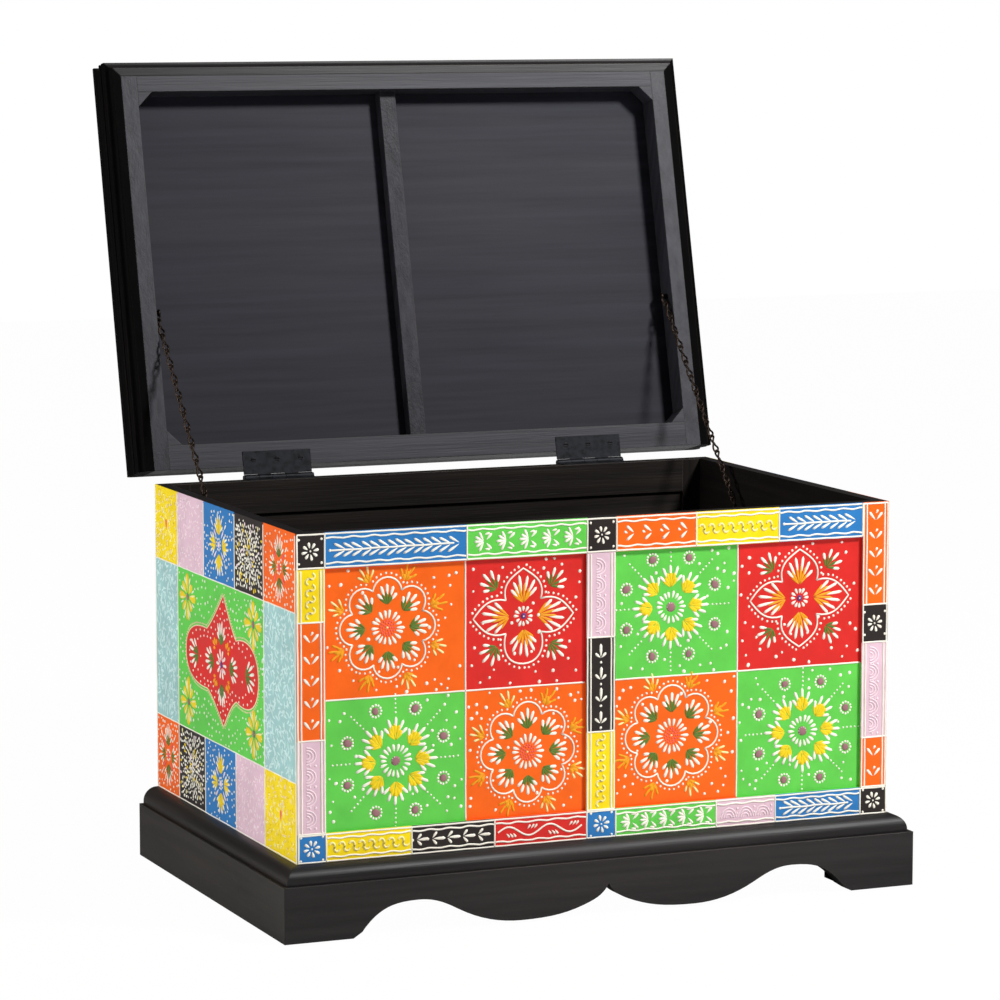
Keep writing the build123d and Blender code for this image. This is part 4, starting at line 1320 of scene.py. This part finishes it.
# %% Hang the chains
FIRST_LINK = 0.00325   # from a screw to the middle of its link
WIRE = 0.0019
LOWER_COUNT = 12
UPPER_COUNT = 21       # odd, so that the last links of both lengths stand square to each other
pivot = {joint["child"]: Vector(joint["pos_m"]) for joint in frame["joints"]}
for side in ("left", "right"):
    low = pivot[f"chain_{side}_lower"]
    high = pivot[f"chain_{side}_upper"]
    pitch = ((high - low).length - 2 * FIRST_LINK) / (LOWER_COUNT + UPPER_COUNT - 1)
    for part, start, end, links in (("lower", low, high, LOWER_COUNT), ("upper", high, low, UPPER_COUNT)):
        along = (end - start).normalized()
        across = Vector((1, 0, 0))
        place = Matrix((along, across, along.cross(across))).transposed().to_4x4()
        place.translation = start
        name = f"chain_{side}_{part}_links"
        seed = bpy.data.meshes.new(name)
        obj = made_by(chain_nodes, name, seed, {
            chain_ids["Links"]: links, chain_ids["Pitch"]: pitch, chain_ids["First"]: FIRST_LINK,
            chain_ids["Length"]: pitch + WIRE + 0.0001, chain_ids["Wire"]: WIRE,
            chain_ids["Metal"]: dark_bronze})
        obj.data.transform(place)
        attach(obj, f"chain_{side}_{part}")
        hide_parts(f"chain_{side}_{part}")
print("chains: 4 lengths,", 2 * (LOWER_COUNT + UPPER_COUNT), "links, pitch", round(pitch / MM, 2), "mm")

# %% [markdown]
# ## The studio
# The chest stands on a white floor. One small lamp stands high on the right in front and draws the
# lid's crisp inner shadows to the left and down, a wide one fills from the left, and the world adds a
# little even light. The camera sees the world and most of the floor as plain white, while the floor
# keeps a faint shadow under the plinth.

# %% Studio
def area_lamp(name, direction, distance, size, watts, target):
    data = bpy.data.lights.new(name, "AREA")
    data.shape = "DISK"
    data.size = size
    data.energy = watts
    obj = new_object(name, data)
    obj.location = Vector(target) + Vector(direction).normalized() * distance
    obj.rotation_euler = (Vector(target) - obj.location).to_track_quat("-Z", "Y").to_euler()
    return obj


WORLD_LIGHT = 0.10   # how strongly the white surround lights the chest
FLOOR_GLOW = 0.985   # how much of the floor the camera sees as plain white
FLOOR_SIZE = 12.0


def white_world():
    world = bpy.data.worlds.new("white surround")
    world.use_nodes = True
    tree = world.node_tree
    tree.nodes.clear()
    light = add(tree, "ShaderNodeBackground", {"Color": (1, 1, 1, 1), "Strength": WORLD_LIGHT})
    seen = add(tree, "ShaderNodeBackground", {"Color": (1, 1, 1, 1), "Strength": 1.0})
    path = add(tree, "ShaderNodeLightPath").outputs
    direct = math_node(tree, "MAXIMUM", path["Is Camera Ray"], path["Is Transmission Ray"])
    mix = add(tree, "ShaderNodeMixShader", {0: direct, 1: light.outputs[0], 2: seen.outputs[0]})
    out = add(tree, "ShaderNodeOutputWorld")
    tree.links.new(mix.outputs[0], out.inputs[0])
    bpy.context.scene.world = world


def white_floor():
    mat, tree, shader = new_finish("white floor")
    shader.inputs["Base Color"].default_value = (0.92, 0.92, 0.92, 1)
    shader.inputs["Roughness"].default_value = 0.9
    shader.inputs["Specular IOR Level"].default_value = 0.0
    glow = add(tree, "ShaderNodeEmission", {"Color": (1, 1, 1, 1), "Strength": 1.0}).outputs[0]
    camera = add(tree, "ShaderNodeLightPath").outputs["Is Camera Ray"]
    share = math_node(tree, "MULTIPLY", camera, FLOOR_GLOW)
    mix = add(tree, "ShaderNodeMixShader", {0: share, 1: shader.outputs[0], 2: glow})
    tree.links.new(mix.outputs[0], tree.nodes["Material Output"].inputs["Surface"])
    half = FLOOR_SIZE / 2
    mesh = bpy.data.meshes.new("floor")
    corners = [(-half, -half, 0), (half, -half, 0), (half, half, 0), (-half, half, 0)]
    mesh.from_pydata(corners, [], [(0, 1, 2, 3)])
    mesh.materials.append(mat)
    floor = new_object("floor", mesh)
    floor.location.z = -0.0005


CAMERA_X = -1.4514
CAMERA_BEFORE = 3.1971   # from the chest's front face to the camera
CAMERA_Z = 0.8042
CAMERA_LENS = 147.6      # mm, for a picture 36 mm wide
CAMERA_YAW = math.radians(-22.99)
CAMERA_PITCH = math.radians(7.20)


def photo_camera():
    data = bpy.data.cameras.new("camera")
    data.lens = CAMERA_LENS
    data.sensor_width = 36.0
    obj = new_object("camera", data)
    obj.location = (CAMERA_X, chest_front - CAMERA_BEFORE, CAMERA_Z)
    obj.rotation_euler = (math.pi / 2 - CAMERA_PITCH, 0, CAMERA_YAW)
    bpy.context.scene.camera = obj


white_world()
white_floor()
photo_camera()
MIDDLE = (0, 0, 0.35)
area_lamp("key", (0.470, -0.580, 0.665), 2.6, 0.45, 78, MIDDLE)
area_lamp("fill", (-0.98, 0.07, 0.15), 3.0, 1.0, 50, MIDDLE)
bpy.context.scene.view_settings.view_transform = "Standard"
print("studio ready")
